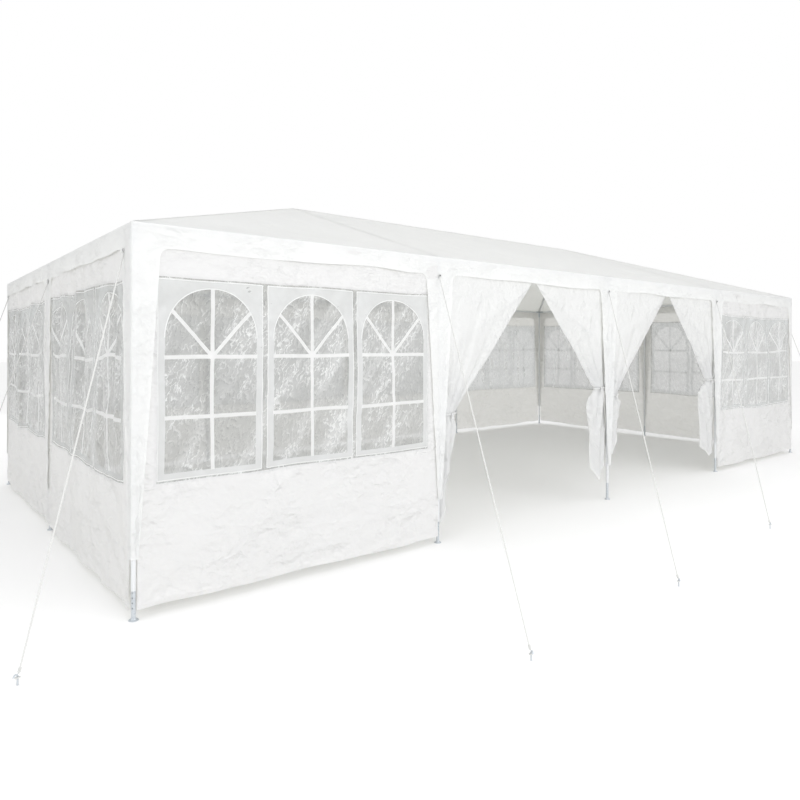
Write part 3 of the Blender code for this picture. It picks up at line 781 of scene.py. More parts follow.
def wallPoint(wall, along, up, lift):
    facts = walls[wall]
    slack, seed, bay = facts["slack"], facts["seed"], tent["bay"]
    bayIndex = np.clip(np.floor((along - facts["from"]) / bay), 0, None)
    inBay = along - facts["from"] - bayIndex * bay
    inBay = np.where((inBay < 1e-6) & (along > facts["from"] + 0.5), bay, inBay)
    fromLeg = np.minimum(inBay, bay - inBay)
    below = ramp((wallSheet["top"] - up) / 0.3)
    held = ramp(fromLeg / 0.2) * below
    inWindow = ramp((window["blockHalf"] - np.abs(inBay - bay / 2)) / 0.06)
    inWindow = inWindow * ramp((up - window["blockBottom"]) / 0.06) * ramp((window["blockTop"] - up) / 0.06)
    weights = {"held": held, "low": held * ramp((0.62 - up) / 0.2), "crumpled": held * (0.35 + 0.65 * slack),
               "window": inWindow}
    out = inWindow * 0.0012 * crease(along + up, up * 0.7, 0.11, seed + 6)
    for where, relief, depth, size, squash, draw in wallRelief:
        out = out + weights[where] * depth * relief(along * squash[0], up * squash[1], size, seed + draw)
    # Pulls that fan out from the lower corners, where the cloth is tied to the legs
    for corner, spread in ((0.0, seed * 1.3), (bay, seed * 1.7)):
        away, above = np.abs(inBay - corner), up - wallSheet["bottom"]
        reach = np.hypot(away, above)
        angle = np.arctan2(above, away + 1e-6)
        pull = np.sin(angle * 11 + 0.6 * np.sin(3 * angle + spread) + spread)
        out = out + (0.0035 + 0.004 * slack) * pull * np.exp(-reach / 0.42) * ramp(reach / 0.12)
    out = out + held * slack * wallFolds["depth"] * foldsOf(wall, bayIndex, inBay, up)
    out = out + held * slack * 0.010 * ripple(inBay, up * 0.5, 0.55, seed + 4)
    # The hem hangs lower between the legs, and the pattern wanders a little
    drop = -0.016 * slack * np.sin(np.pi * inBay / bay) * below
    drop = drop + held * (0.0025 + 0.007 * slack) * ripple(along, up, 0.5, seed + 7)
    hemmed = ramp(fromLeg / 0.5) * below * ramp((0.3 - up) / 0.3)
    drop = drop + hemmed * 0.007 * ripple(along, up * 0, 0.7, seed + 8)
    shift = held * (0.002 + 0.009 * slack) * ripple(along, up, 0.45, seed + 9)
    return placeOn(facts["side"], along + shift, wallSheet["out"] + lift + out, up + drop)


def baysOf(wall):
    # The middles of a wall's bays
    facts = walls[wall]
    count = round((facts["to"] - facts["from"]) / tent["bay"])
    return [facts["from"] + tent["bay"] * (index + 0.5) for index in range(count)]


def makeWallCloth(wall):
    facts = walls[wall]
    corner = sides[facts["side"]]["half"]
    low, high = [facts[end] + way * (tent["tubeGap"] if abs(facts[end]) == corner else wallSheet["legGap"])
                 for end, way in (("from", 1), ("to", -1))]
    lip, cell = wallSheet["lip"], wallSheet["cell"]
    runs = [[low]]
    for middle in baysOf(wall):
        left, right = middle - window["blockHalf"], middle + window["blockHalf"]
        runs += [steps(runs[-1][-1], left - lip, cell), [left - lip, left], steps(left, right, cell),
                 [right, right + lip]]
    runs.append(steps(runs[-1][-1], high, cell))
    across = joined(*runs)
    bottom, top = window["blockBottom"], window["blockTop"]
    base, hemTop = wallSheet["bottom"], wallSheet["bottom"] + wallSheet["hem"]
    up = joined(steps(base, hemTop, wallSheet["hemCell"]), steps(hemTop + 0.002, bottom - lip, cell),
                [bottom - lip], steps(bottom, top, cell), steps(top + lip, wallSheet["top"], cell))

    def opening(along, height):
        inBlock = min(abs(along - middle) for middle in baysOf(wall)) < window["blockHalf"]
        return inBlock and bottom < height < top

    def hang(along, height, _):
        hem = wallSheet["hemLift"] * (height < hemTop + 0.001)
        return wallPoint(wall, along, height, wallSheet["lift"] + hem)

    mesh = makeCloth(wall + "_wall_cloth", across, up, hang, opening)
    piece = newPiece(wall + "_wall_cloth", mesh, [wallTarpaulin], (wall + "_wall",))
    hole = 2 * window["blockHalf"] * (top - bottom) * len(baysOf(wall))


def makeFilmStrip(wall):
    shape = bmesh.new()
    over, cell = window["filmOverlap"], window["filmCell"]
    for middle in baysOf(wall):
        across = steps(middle - window["blockHalf"] - over, middle + window["blockHalf"] + over, cell)
        addPatch(shape, across, steps(window["blockBottom"] - over, window["blockTop"] + over, cell))
    mesh = meshFrom(wall + "_window_film", shape)
    moveFlat(mesh, lambda along, up, _: wallPoint(wall, along, up, window["lifts"]["film"]))
    piece = newPiece(wall + "_window_film", mesh, [films[wall]], (wall + "_windows",))
    wide = 2 * (window["blockHalf"] + over) * len(baysOf(wall))


def archPoint(middle, way, grow=0.0):
    # A point of the arch, some of the way from its right foot to its left one
    radius, angle = window["clearHalf"] + grow, math.pi * way
    return (middle + radius * math.cos(angle), window["archMiddle"] + radius * math.sin(angle))


def addBar(shape, start, end, halfWidth):
    # A straight printed bar
    addStrip(shape, start, end, window["inkCell"], [-halfWidth, 0.0, halfWidth])


def addFan(shape, inner, outer, columns, rows):
    # A printed band between two lines, each given as a function of the way along
    for vertex in addPatch(shape, steps(0.0, 1.0, 1 / columns), steps(0.0, 1.0, 1 / rows)):
        low, high = Vector(inner(vertex.co.x)), Vector(outer(vertex.co.x))
        spot = low + (high - low) * vertex.co.y
        vertex.co = (spot.x, spot.y, 0.0)


def addWindowBars(shape, middle):
    # Glazing bars, rays, the line round the arch and the hub, in solid white ink
    clear, over, half = window["clearHalf"], window["barOverlap"], window["barHalf"]
    for height in (window["upperBar"], window["lowerBar"]):
        addBar(shape, (middle - clear - over, height), (middle + clear + over, height), half)
    addBar(shape, (middle, window["sill"] - over), (middle, archPoint(middle, 0.5)[1] + over), half)
    hub, radius = (middle, window["upperBar"]), window["hub"]
    for angle in window["rayAngles"]:
        addBar(shape, hub, archPoint(middle, angle / 180, over), window["rayHalf"])
    left, right = middle - window["outerHalf"], middle + window["outerHalf"]
    bottom, top = window["frameBottom"], window["frameTop"]
    corners = [(left, bottom), (right, bottom), (right, top), (left, top)]
    for start, end in zip(corners, corners[1:] + corners[:1]):
        addBar(shape, start, end, window["lineHalf"])

    def hubEdge(way):
        angle = 2 * math.pi * way
        return (hub[0] + radius * math.cos(angle), hub[1] + radius * math.sin(angle))

    addFan(shape, lambda way: archPoint(middle, way, window["archLine"]),
           lambda way: archPoint(middle, way), 40, 1)
    addFan(shape, hubEdge, lambda way: hub, 20, 2)


def addWindowFrame(shape, middle):
    # Jambs, sill and the field above the arch, in thinner ink
    outer, clear = window["outerHalf"], window["clearHalf"]
    bottom, sill, low, high = window["frameBottom"], window["sill"], window["archMiddle"], window["frameTop"]
    for side in (-1, 1):
        jamb = middle + side * (outer + clear) / 2
        addBar(shape, (jamb, sill), (jamb, low), (outer - clear) / 2)
    sillMiddle = (bottom + sill) / 2
    addBar(shape, (middle - outer, sillMiddle), (middle + outer, sillMiddle), (sill - bottom) / 2)

    def border(way):
        # Up the right side, over the head and down the left side
        if way <= 0.25:
            return (middle + outer, low + (high - low) * way / 0.25)
        if way >= 0.75:
            return (middle - outer, low + (high - low) * (1 - way) / 0.25)
        return (middle + outer * (1 - (way - 0.25) / 0.25), high)

    addFan(shape, border, lambda way: archPoint(middle, way), 40, 6)


def makePrints(wall):
    barInk, frameInk = inks[wall]
    for part, draw, material in (("bars", addWindowBars, barInk), ("frames", addWindowFrame, frameInk)):
        shape = bmesh.new()
        for bay in baysOf(wall):
            for step in (-1, 0, 1):
                draw(shape, bay + step * window["pitch"])
        bmesh.ops.recalc_face_normals(shape, faces=shape.faces)
        bmesh.ops.reverse_faces(shape, faces=[face for face in shape.faces if face.normal.z < 0])
        name, lift = wall + "_window_" + part, window["lifts"][part]
        mesh = meshFrom(name, shape)
        moveFlat(mesh, lambda along, up, _: wallPoint(wall, along, up, lift))
        newPiece(name, mesh, [material])


for wall in walls:
    makeWallCloth(wall)
    makeFilmStrip(wall)
    makePrints(wall)
print("marquee: window walls made")


# Door curtains: folded back along the opening, gripped by a tie at the leg, the loose end below it
curtains = {
    "left_door_left": {"leg": -2.0, "side": 1, "tie": 0.87, "bundle": 0.2, "tip": 0.1, "tipAt": 0.0,
                       "slope": 0.2, "taper": 0.55, "phase": 0.4, "seed": 61},
    "left_door_right": {"leg": 0.0, "side": -1, "tie": 0.98, "bundle": 0.27, "tip": 0.18, "tipAt": 0.6,
                        "slope": 0.3, "taper": 0.15, "phase": 2.1, "seed": 63},
    "right_door_left": {"leg": 0.0, "side": 1, "tie": 0.91, "bundle": 0.25, "tip": 0.38, "tipAt": 0.3,
                        "slope": 0.2, "taper": 0.3, "phase": 3.7, "seed": 65},
    "right_door_right": {"leg": 2.0, "side": -1, "tie": 0.99, "bundle": 0.34, "tip": 0.18, "tipAt": 0.5,
                         "slope": 0.2, "taper": 0.15, "phase": 5.2, "seed": 67},
}
curtain = {
    "width": 0.985,
    "length": 1.89,
    "cell": (0.0065, 0.0125),
    "top": 1.9272,
    "out": 0.0155,
    "start": 0.0135,  # from the leg's axis
    "neck": 0.18,
    "closed": 0.09,  # the share of the fall that hangs closed under the rail
    "foldSharpness": 0.97,
    "layerGap": 0.008,
    "stack": 0.016,
    "tuck": 2.1,
    "roundness": 0.03,
    "rayDepth": 0.006,
    "foldDepth": 0.007,
    "gatherDepth": 0.0025,
    "creaseDepth": 0.003,
    "zipWidth": 0.028,
    "zipCell": 0.0047,
    "zipLift": 0.0016,
}


def curtainPoint(facts, u, v, lift):
    # u runs from the leg to the free edge, and v from the rail to the lower hem, 0.5 at the tie
    u = np.clip(u, 0.0, 1.0)
    start, full, phase, sharp = curtain["start"], curtain["width"], facts["phase"], curtain["foldSharpness"]
    gripped, loose = curtain["neck"] - start, facts["bundle"] - start
    fall = np.clip(v / 0.5, 0.0, 1.0)
    drawn = np.clip((fall - curtain["closed"]) / (1 - curtain["closed"]), 0.0, 1.0)
    below = np.clip((v - 0.5) / 0.5, 0.0, 1.0)
    hanging = v > 0.5
    taper = 1 - facts["taper"] * ramp((below - 0.1) / 0.9)
    width = np.where(hanging, (gripped + (loose - gripped) * ramp(below / 0.2)) * taper,
                     full + (gripped - full) * drawn)
    # The cloth goes to and fro across that width, each layer behind the last
    layer = u * full / width
    along = 0.5 - np.arcsin(sharp * np.cos(math.pi * layer)) / (2 * math.asin(sharp))
    gap = np.minimum(curtain["layerGap"], curtain["stack"] * width / full)
    # A rear layer is tucked in a little, so that the front one covers it
    tucked = 1 - np.minimum(curtain["tuck"] * gap * layer / width, 0.3)
    across = start + width * along * tucked
    hem = facts["tip"] + facts["slope"] * np.abs(along - facts["tipAt"]) + 0.012 * np.minimum(layer, 3.0)
    up = np.where(hanging, facts["tie"] + (hem - facts["tie"]) * below,
                  curtain["top"] + (facts["tie"] - curtain["top"]) * fall)
    out = curtain["out"] - gap * layer - 0.010 * np.sin(math.pi * fall) * np.sin(math.pi * across)
    # Full and round where it is gathered
    gathered = np.where(hanging, 1.0, ramp((drawn - 0.55) / 0.4))
    out = out - gathered * (0.006 + curtain["roundness"] * (2 * along - 1) ** 2)
    # Soft rays towards the tie, gathers in its grip and upright folds below it
    rays = np.sin(2 * math.pi * (3.1 * across / width + 0.12 * np.sin(4 * fall)) + phase)
    rays = rays + 0.5 * np.sin(2 * math.pi * (6.7 * across / width + 0.2 * np.sin(5 * fall)) + 2 * phase)
    rays = rays * ramp((drawn - 0.1) / 0.6) * (1 - hanging) * ramp((1 - drawn) / 0.1)
    upright = np.sin(2 * math.pi * (across * 9 + 0.5 * np.sin(3 * below + phase)) + phase)
    upright = upright + 0.8 * crease(across, up * 0.22, 0.075, facts["seed"])
    gathers = np.sin(2 * math.pi * 48 * across) * np.exp(-((v - 0.5) / 0.025) ** 2)
    creases = crease(across + facts["leg"], up * 0.7, 0.2, 7) * ramp(fall / 0.1)
    out = out + curtain["rayDepth"] * rays + hanging * curtain["foldDepth"] * upright * ramp(below / 0.08)
    out = out + curtain["gatherDepth"] * gathers + curtain["creaseDepth"] * creases
    # Beside the leg it stays behind the valance's band
    out = np.minimum(out, 0.0165 + 0.012 * ramp((across - 0.06) / 0.06))
    return placeOn("front", facts["leg"] + facts["side"] * across, out + lift, up)


def makeCurtain(name, facts):
    turned, wide = facts["side"] < 0, curtain["width"]

    def hang(across, up, lift):
        u = across / wide
        u = 1 - u if turned else u
        return curtainPoint(facts, u, 1 - up / curtain["length"], lift)

    across, up = steps(0.0, wide, curtain["cell"][0]), steps(0.0, curtain["length"], curtain["cell"][1])
    mesh = makeCloth(name + "_curtain_cloth", across, up, hang)
    piece = newPiece(name + "_curtain_cloth", mesh, [curtainTarpaulin],
                     (name + "_curtain",))
    # The zip tape on the free edge
    shape = bmesh.new()
    zipWidth = curtain["zipWidth"]
    ends = (0.0, zipWidth) if turned else (wide - zipWidth, wide)
    addPatch(shape, steps(*ends, curtain["zipCell"]), up, layer=curtain["zipLift"])
    tapeMesh = meshFrom(name + "_zip_tape", shape)
    moveFlat(tapeMesh, hang)
    tape = newPiece(name + "_zip_tape", tapeMesh, [curtainTarpaulin])
    tiePiece = makeTie(name, facts)


# A narrow webbing tie round each curtain's neck, with a small knot at the front and two short tails
tie = {
    "halfHeight": 0.006,
    "thickness": 0.0012,
    "depth": 0.0285,
    "behind": 0.012,
    "ease": 0.002,
    "tilt": 0.006,
    "knotRadius": 0.0065,
    "knotShape": (1.2, 0.8, 1.1),
    "knotAside": 0.02,
    "knotOut": 0.019,
    "tailHalf": 0.005,
    "tails": ((-0.25, 0.045), (0.3, 0.036)),  # how far each leans, and its length
}


def makeTie(name, facts):
    shape = bmesh.new()
    leg, side, height = facts["leg"], facts["side"], facts["tie"]
    middle, half = (curtain["start"] + curtain["neck"]) / 2, (curtain["neck"] - curtain["start"]) / 2
    up = steps(-tie["halfHeight"], tie["halfHeight"], 0.004)
    for vertex in addPatch(shape, steps(0.0, 1.0, 1 / 48), up):
        angle = 2 * math.pi * vertex.co.x
        out = -tie["behind"] + tie["depth"] * math.sin(angle)
        across = leg + side * (middle + (half + tie["ease"]) * math.cos(angle))
        tilt = tie["tilt"] * math.cos(angle) * side
        vertex.co = (across, -tent["halfWidth"] - out, height + vertex.co.y + tilt)
    bmesh.ops.remove_doubles(shape, verts=shape.verts, dist=0.0001)
    knotSpot = Vector((leg + side * (middle + tie["knotAside"]), -tent["halfWidth"] - tie["knotOut"], height))
    knot = bmesh.ops.create_icosphere(shape, subdivisions=3, radius=tie["knotRadius"])
    bmesh.ops.scale(shape, verts=knot["verts"], vec=tie["knotShape"])
    bmesh.ops.translate(shape, verts=knot["verts"], vec=knotSpot)
    for lean, long in tie["tails"]:
        for vertex in addPatch(shape, steps(-tie["tailHalf"], tie["tailHalf"], 0.0025), steps(0.0, 1.0, 0.1)):
            down = vertex.co.y
            curl = -0.003 - 0.005 * math.sin(2.4 * down)
            vertex.co = knotSpot + Vector((vertex.co.x + lean * long * down, curl, -long * down))
    mesh = meshFrom(name + "_tie", shape)
    moveFlat(mesh, lambda x, y, z: np.stack([x, y, z], axis=1))
    solid = newPiece(name + "_tie", mesh, [curtainTarpaulin])
    thick = solid.modifiers.new("webbing", "SOLIDIFY")
    thick.thickness = tie["thickness"]
    return solid


for name, facts in curtains.items():
    makeCurtain(name, facts)
print("marquee: door curtains made")


# Legs: painted tube with its spring button, perforated lower tube, foot
legTube = {
    "radius": tent["tubeRadius"],
    "bottom": 0.145,
    "top": 1.9272,
    "lip": 0.02,  # how far the open lower end is seen into
    "buttonRadius": 0.0034,
    "buttonAbove": 0.028,
    "lowerRadius": 0.011,
    "lowerWall": 0.0012,
    "lowerFrom": 0.003,
    "lowerInside": 0.015,
    "firstHole": 0.062,
    "holePitch": 0.025,
    "holes": 4,
    "holeRadius": 0.0034,
    "footRadius": 0.024,
    "footThickness": 0.004,
    "footEdge": 0.0012,
}


def makeUpperTube():
    shape = bmesh.new()
    outer, inner = legTube["radius"], legTube["lowerRadius"] + 0.0003
    low, high, lip = legTube["bottom"], legTube["top"], legTube["bottom"] + legTube["lip"]
    addSpun(shape, [(0.0, high), (outer - 0.001, high), (outer, high - 0.001), (outer, low + 0.001),
                    (outer - 0.0005, low), (inner, low), (inner, lip), (0.0, lip)], 28)
    button = bmesh.ops.create_uvsphere(shape, u_segments=12, v_segments=8, radius=legTube["buttonRadius"])
    bmesh.ops.translate(shape, verts=button["verts"],
                        vec=(0.0, -outer + 0.0004, low + legTube["buttonAbove"]))
    bmesh.ops.recalc_face_normals(shape, faces=shape.faces)
    return meshFrom("leg_tube", shape, 40)


def makeLowerTube():
    # Its front wall is drilled
    shape = bmesh.new()
    outside, inside = legTube["lowerRadius"], legTube["lowerRadius"] - legTube["lowerWall"]
    top, low = legTube["bottom"] + legTube["lowerInside"], legTube["lowerFrom"]
    addSpun(shape, [(inside, top), (outside, top), (outside, low), (inside, low)], 40, closed=True)
    bmesh.ops.recalc_face_normals(shape, faces=shape.faces)
    drills = bmesh.new()
    for index in range(legTube["holes"]):
        height = legTube["firstHole"] + index * legTube["holePitch"]
        addTube(drills, (0.0, -0.03, height), (0.0, 0.0, height), legTube["holeRadius"], 16)
    tube = newObject("leg_lower", meshFrom("leg_lower", shape))
    drill = newObject("leg_drills", meshFrom("leg_drills", drills))
    cut = tube.modifiers.new("holes", "BOOLEAN")
    cut.operation = "DIFFERENCE"
    cut.object = drill
    cut.solver = "EXACT"
    return finalMesh(tube, drill)


def makeFoot():
    # A round plate with a short socket on it
    shape = bmesh.new()
    plate, edge, thick, tube = (legTube["footRadius"], legTube["footEdge"], legTube["footThickness"],
                                legTube["lowerRadius"])
    addSpun(shape, [(0.0, thick), (plate - edge, thick), (plate, thick - edge), (plate, edge * 0.5),
                    (plate - edge, 0.0), (0.0, 0.0)], 32)
    addSpun(shape, [(0.0, 0.012), (tube + 0.0022, 0.012), (tube + 0.003, 0.0105), (tube + 0.004, thick),
                    (0.0, thick)], 28)
    bmesh.ops.recalc_face_normals(shape, faces=shape.faces)
    return meshFrom("leg_foot", shape, 35)


def makeLegTemplate():
    whole = bmesh.new()
    for mesh, slotIndex in ((makeUpperTube(), 0), (makeLowerTube(), 1), (makeFoot(), 1)):
        before = len(whole.faces)
        whole.from_mesh(mesh)
        whole.faces.ensure_lookup_table()
        for face in whole.faces[before:]:
            face.material_index = slotIndex
    return meshFrom("leg_template", whole, 38)


legTemplate = makeLegTemplate()
legPlaces = {}
for index in range(5):
    x = -tent["halfLength"] + tent["bay"] * index
    legPlaces["leg_front_%d" % (index + 1)] = (x, -tent["halfWidth"], 0.0)
    legPlaces["leg_back_%d" % (index + 1)] = (x, tent["halfWidth"], math.pi)
legPlaces["leg_left"] = (-tent["halfLength"], 0.0, -math.pi / 2)
legPlaces["leg_right"] = (tent["halfLength"], 0.0, math.pi / 2)
legPlaces["leg_front_1"] = (-tent["halfLength"], -tent["halfWidth"], math.radians(-52))
for name, (x, y, turn) in legPlaces.items():
    mesh = legTemplate.copy()
    mesh.name = name + "_tube"
    mesh.transform(Matrix.Translation((x, y, 0.0)) @ Matrix.Rotation(turn, 4, "Z"))
    newPiece(name + "_tube", mesh, [paintedSteel, zincSteel], (name,))
print("marquee: legs made")


# Frame tubes under the cover, with a slip-on connector at every joint
tubes = {"radius": 0.0123, "segments": 24, "endGap": 0.012}
connector = {"radius": 0.0139, "length": 0.085, "segments": 22, "boltRadius": 0.0042, "boltAt": 0.055,
             "boltHeight": 0.004, "boltSunk": 0.001, "near": 0.02, "middle": 2.3}


def frameLines():
    # For each node of the frame, the straight tubes that it is made of
    length, width, up = tent["halfLength"], tent["halfWidth"], tent["railHeight"]
    ridge, apex, gap = tent["ridgeHalf"], tent["ridgeHeight"], tent["tubeGap"]
    inner = width - gap
    lines = {
        "eave_rail_front": [((-length, -width, up), (length, -width, up))],
        "eave_rail_back": [((-length, width, up), (length, width, up))],
        "eave_rail_left": [((-length, -inner, up), (-length, inner, up))],
        "eave_rail_right": [((length, -inner, up), (length, inner, up))],
        "centre_rafters": [((0, 0, apex), (0, -width, up)), ((0, 0, apex), (0, width, up))],
        "ridge_tube_left": [((-ridge + gap, 0, apex), (-gap, 0, apex))],
        "ridge_tube_right": [((gap, 0, apex), (ridge - gap, 0, apex))],
    }
    for name, side in (("roof_frame_left", -1), ("roof_frame_right", 1)):
        top = (side * ridge, 0, apex)
        feet = [(side * length, -width, up), (side * length, width, up), (side * length, 0, up),
                (side * ridge, -width, up), (side * ridge, width, up)]
        lines[name] = [(top, foot) for foot in feet]
    return lines


for name, lines in frameLines().items():
    shape = bmesh.new()
    for start, end in lines:
        start, end = Vector(start), Vector(end)
        if abs(start.z - end.z) > 0.1:
            # A rafter ends just short of the eave tube's axis
            end = end + (start - end).normalized() * tubes["endGap"]
        addTube(shape, start, end, tubes["radius"], tubes["segments"])
    newPiece(name + "_steel", meshFrom(name + "_steel", shape, 40), [paintedSteel], (name,))


def connectorSpots():
    # Every joint of the frame, with the ways that its tubes leave it
    length, width, up = tent["halfLength"], tent["halfWidth"], tent["railHeight"]
    ridge, apex = tent["ridgeHalf"], tent["ridgeHeight"]
    overLegs = [(x, y, up) for x in (-length, -ridge, 0.0, ridge, length) for y in (-width, width)]
    overLegs += [(-length, 0.0, up), (length, 0.0, up)]
    tubeEnds = [(Vector(start), Vector(end)) for lines in frameLines().values() for start, end in lines]
    for place in overLegs + [(-ridge, 0.0, apex), (0.0, 0.0, apex), (ridge, 0.0, apex)]:
        spot = Vector(place)
        ways = [Vector((0, 0, -1))] if place in overLegs else []
        for start, end in tubeEnds:
            nearest, share = geometry.intersect_point_line(spot, start, end)
            if (nearest - spot).length < connector["near"] and -0.1 < share < 1.1:
                ways += [far - spot for far in (start, end) if (far - spot).length > 0.1]
        yield spot, ways


def makeConnectors():
    shape = bmesh.new()
    for spot, ways in connectorSpots():
        ball = bmesh.ops.create_uvsphere(shape, u_segments=18, v_segments=12, radius=connector["radius"])
        bmesh.ops.translate(shape, verts=ball["verts"], vec=spot)
        # The bolt heads look into the tent, or straight down where the joint is near its middle
        nearMiddle = spot.length <= connector["middle"]
        inward = Vector((0, 0, -1)) if nearMiddle else Vector((-spot.x, -spot.y, -0.6)).normalized()
        for way in ways:
            way.normalize()
            addTube(shape, spot, spot + way * connector["length"], connector["radius"], connector["segments"])
            flat = inward - way * inward.dot(way)
            if flat.length > 0.1:
                flat.normalize()
                head = spot + way * connector["boltAt"] + flat * (connector["radius"] - connector["boltSunk"])
                addTube(shape, head, head + flat * connector["boltHeight"], connector["boltRadius"], 6)
    newPiece("frame_connectors", meshFrom("frame_connectors", shape, 40), [zincSteel])


makeConnectors()
print("marquee: frame tubes made")


# Guy ropes: three-strand cord from an eyelet in the cover to a hooked peg
rope = {
    "strandRadius": 0.0021,
    "twistRadius": 0.002,
    "strands": 3,
    "pitch": 0.036,
    "pointsPerTurn": 5,
    "eyeletHeight": 1.82,
    "holdHeight": 0.03,
    "pegs": {2: (-0.80, 1.48), 3: (-1.49, 1.44), 4: (-1.87, 1.28)},  # along and out from each front leg
    "cornerEyelet": 1.9,
    "cornerPeg": (4.54, 2.34),
    "endPeg": 4.6,
}
# Each rope's eyelet, its peg, and the way out of the cover. The back's are the front's turned by half a turn
ropeRuns = {}
reachX, reachY = tent["halfLength"] + valance["out"], tent["halfWidth"] + valance["out"]
for turn, row in ((1, "front"), (-1, "back")):
    for number, (along, out) in rope["pegs"].items():
        x = tent["bay"] * (number - 3)
        name = "guy_rope_%s_%d" % (row, number if turn > 0 else 6 - number)
        ropeRuns[name] = ((x * turn, -reachY * turn), ((x + along) * turn, (-tent["halfWidth"] - out) * turn),
                          (0, -turn, 0))
    for number, side in ((1, -1), (5, 1)):
        pegX, pegY = rope["cornerPeg"]
        ropeRuns["guy_rope_%s_%d" % (row, number)] = ((side * reachX, -rope["cornerEyelet"] * turn),
                                                      (side * pegX, -pegY * turn), (side, 0, 0))
for name, side in (("guy_rope_left", -1), ("guy_rope_right", 1)):
    ropeRuns[name] = ((side * reachX, 0.0), (side * rope["endPeg"], 0.0), (side, 0, 0))


def makeRope(name, eyelet, peg, out):
    out = Vector(out)
    hole = Vector((*eyelet, rope["eyeletHeight"])) + out * 0.004
    hold = Vector((*peg, rope["holdHeight"]))
    way = (hold - hole).normalized()
    first = way.orthogonal().normalized()
    second = way.cross(first)
    start, end = hole - out * 0.006, hold - way * 0.014
    count = round((end - start).length / rope["pitch"] * rope["pointsPerTurn"])
    curve = bpy.data.curves.new(name + "_cord", "CURVE")
    curve.dimensions = "3D"
    curve.bevel_depth = rope["strandRadius"]
    curve.bevel_resolution = 1
    curve.use_fill_caps = True
    for strand in range(rope["strands"]):
        spline = curve.splines.new("POLY")
        spline.points.add(count)
        for index, point in enumerate(spline.points):
            angle = 2 * math.pi * (index / rope["pointsPerTurn"] + strand / rope["strands"])
            side = first * math.cos(angle) + second * math.sin(angle)
            spot = start + (end - start) * (index / count) + side * rope["twistRadius"]
            point.co = (*spot, 1.0)
    shape = bmesh.new()
    shape.from_mesh(finalMesh(newObject(name + "_cord", curve)))
    # The loop round the peg, the knot above it and the one at the eyelet
    addRing(shape, hold, (0, 0.25, 1), 0.009, 0.0029, 20)
    for step in range(3):
        addRing(shape, hold - way * (0.022 + 0.006 * step), way, 0.0042, 0.0028, 14)
    addRing(shape, hole + way * 0.012, way, 0.004, 0.0026, 14)
    newPiece(name + "_cord", meshFrom(name + "_cord", shape), [ropeFibre], (name,))
    makePeg(name, peg, -Vector((way.x, way.y, 0.0)).normalized())


# A round steel peg, bent over into a hook on the rope's side
pegRod = {"radius": 0.0038, "from": 0.0005, "straight": 0.034, "bendRadius": 0.011, "bendAngle": 165}


def makePeg(name, peg, towards):
    shape = bmesh.new()
    bmesh.ops.create_circle(shape, segments=12, radius=pegRod["radius"], cap_ends=True,
                            matrix=Matrix.Translation((*peg, pegRod["from"])))
    raised = bmesh.ops.extrude_face_region(shape, geom=list(shape.faces))["geom"]
    ring = [item for item in raised if isinstance(item, bmesh.types.BMVert)]
    bmesh.ops.translate(shape, verts=ring, vec=(0, 0, pegRod["straight"]))
    tip = [item for item in raised if isinstance(item, bmesh.types.BMFace)]
    edges = list({edge for face in tip for edge in face.edges})
    centre = Vector((*peg, pegRod["from"] + pegRod["straight"])) - towards * pegRod["bendRadius"]
    bmesh.ops.spin(shape, geom=ring + edges + tip, cent=centre, axis=Vector((0, 0, 1)).cross(towards),
                   angle=-math.radians(pegRod["bendAngle"]), steps=12)
    bmesh.ops.remove_doubles(shape, verts=shape.verts, dist=0.0001)
    bmesh.ops.recalc_face_normals(shape, faces=shape.faces)
    newPiece(name + "_peg", meshFrom(name + "_peg", shape, 40), [zincSteel])


for name, (eyelet, peg, out) in ropeRuns.items():
    makeRope(name, eyelet, peg, out)


# Eyelets where the ropes leave the cover, each hole filled with a dark disc of painted shade
eyelets = {"ringRadius": 0.0098, "wireRadius": 0.0024, "holeRadius": 0.0088, "lift": 0.0045, "sunk": 0.001}


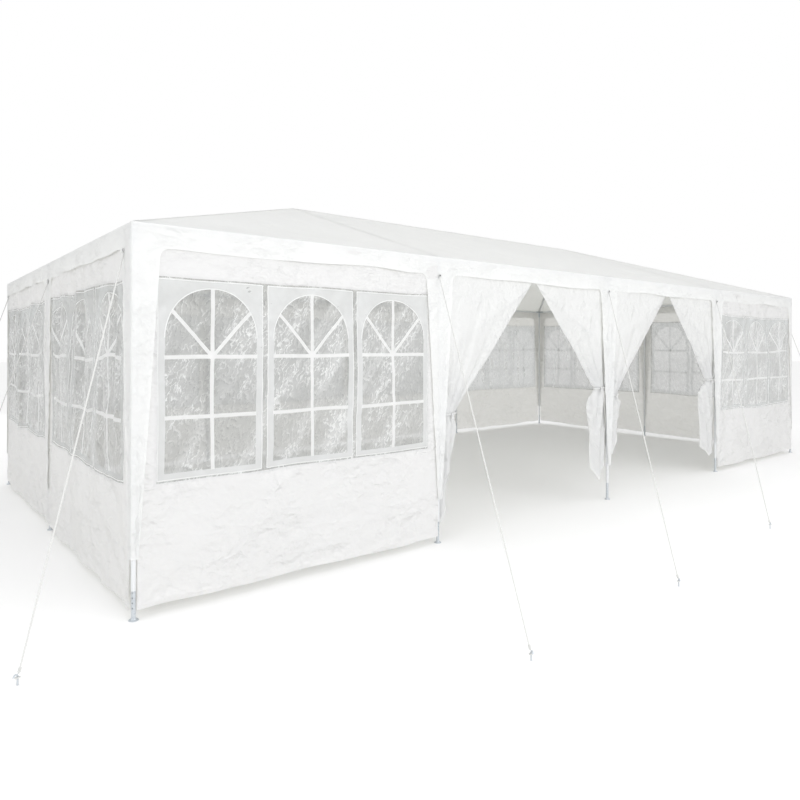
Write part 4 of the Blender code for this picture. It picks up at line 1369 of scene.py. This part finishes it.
def makeEyelets():
    rings, holes = bmesh.new(), bmesh.new()
    for eyelet, _, out in ropeRuns.values():
        out = Vector(out)
        spot = Vector((*eyelet, rope["eyeletHeight"])) + out * eyelets["lift"]
        addRing(rings, spot, out, eyelets["ringRadius"], eyelets["wireRadius"], 24)
        turn = out.to_track_quat("Z", "Y").to_matrix().to_4x4()
        # A dark disc of painted shade, sunk a little behind the ring, stands in the hole
        bmesh.ops.create_circle(holes, cap_ends=True, segments=20, radius=eyelets["holeRadius"],
                                matrix=Matrix.Translation(spot - out * eyelets["sunk"]) @ turn)
    newPiece("eyelet_rings", meshFrom("eyelet_rings", rings, 40), [nickelPlate])
    newPiece("eyelet_shade_discs", meshFrom("eyelet_shade_discs", holes), [eyeletPaintedShade])


makeEyelets()
print("marquee: guy ropes made")


# Studio: a plain pale floor and soft light all round
studio = {"floorSize": 120.0, "worldStrength": 1.0}
softboxes = {
    "front_softbox": {"at": (-1.2, -9.0, 3.4), "to": (-0.6, -1.0, 1.4), "size": (9.0, 3.0), "power": 254.0},
    "left_softbox": {"at": (-10.0, -3.0, 3.4), "to": (-3.0, -0.5, 1.2), "size": (5.0, 3.0), "power": 85.0},
    "top_softbox": {"at": (0.0, -3.0, 9.0), "to": (0.0, -2.5, 0.0), "size": (16.0, 10.0), "power": 50.0},
    "back_softbox": {"at": (1.5, 9.0, 3.0), "to": (1.0, 2.0, 1.4), "size": (10.0, 3.0), "power": 80.0},
}
floorShape = bmesh.new()
bmesh.ops.create_grid(floorShape, x_segments=1, y_segments=1, size=studio["floorSize"] / 2)
floor = newObject("studio_floor", meshFrom("studio_floor", floorShape))
paleFloor = makeDustedMatt("studio_floor", ("#F5F5F5", "#F8F8F8"), {"Scale": 0.6, "Detail": 2.0},
                           {"Roughness": 0.9, "Specular IOR Level": 0.1})
floor.data.materials.append(paleFloor)

world = bpy.data.worlds.new("studio_world")
bpy.context.scene.world = world
world.use_nodes = True
background = world.node_tree.nodes["Background"]
background.inputs["Color"].default_value = (1.0, 1.0, 1.0, 1.0)
background.inputs["Strength"].default_value = studio["worldStrength"]

for name, box in softboxes.items():
    light = bpy.data.lights.new(name, "AREA")
    light.shape = "RECTANGLE"
    light.size, light.size_y = box["size"]
    light.energy = box["power"]
    lamp = newObject(name, light)
    lamp.location = box["at"]
    lamp.rotation_euler = (Vector(box["to"]) - Vector(box["at"])).to_track_quat("-Z", "Y").to_euler()
bpy.context.scene.view_settings.view_transform = "Standard"
print("marquee: studio made")
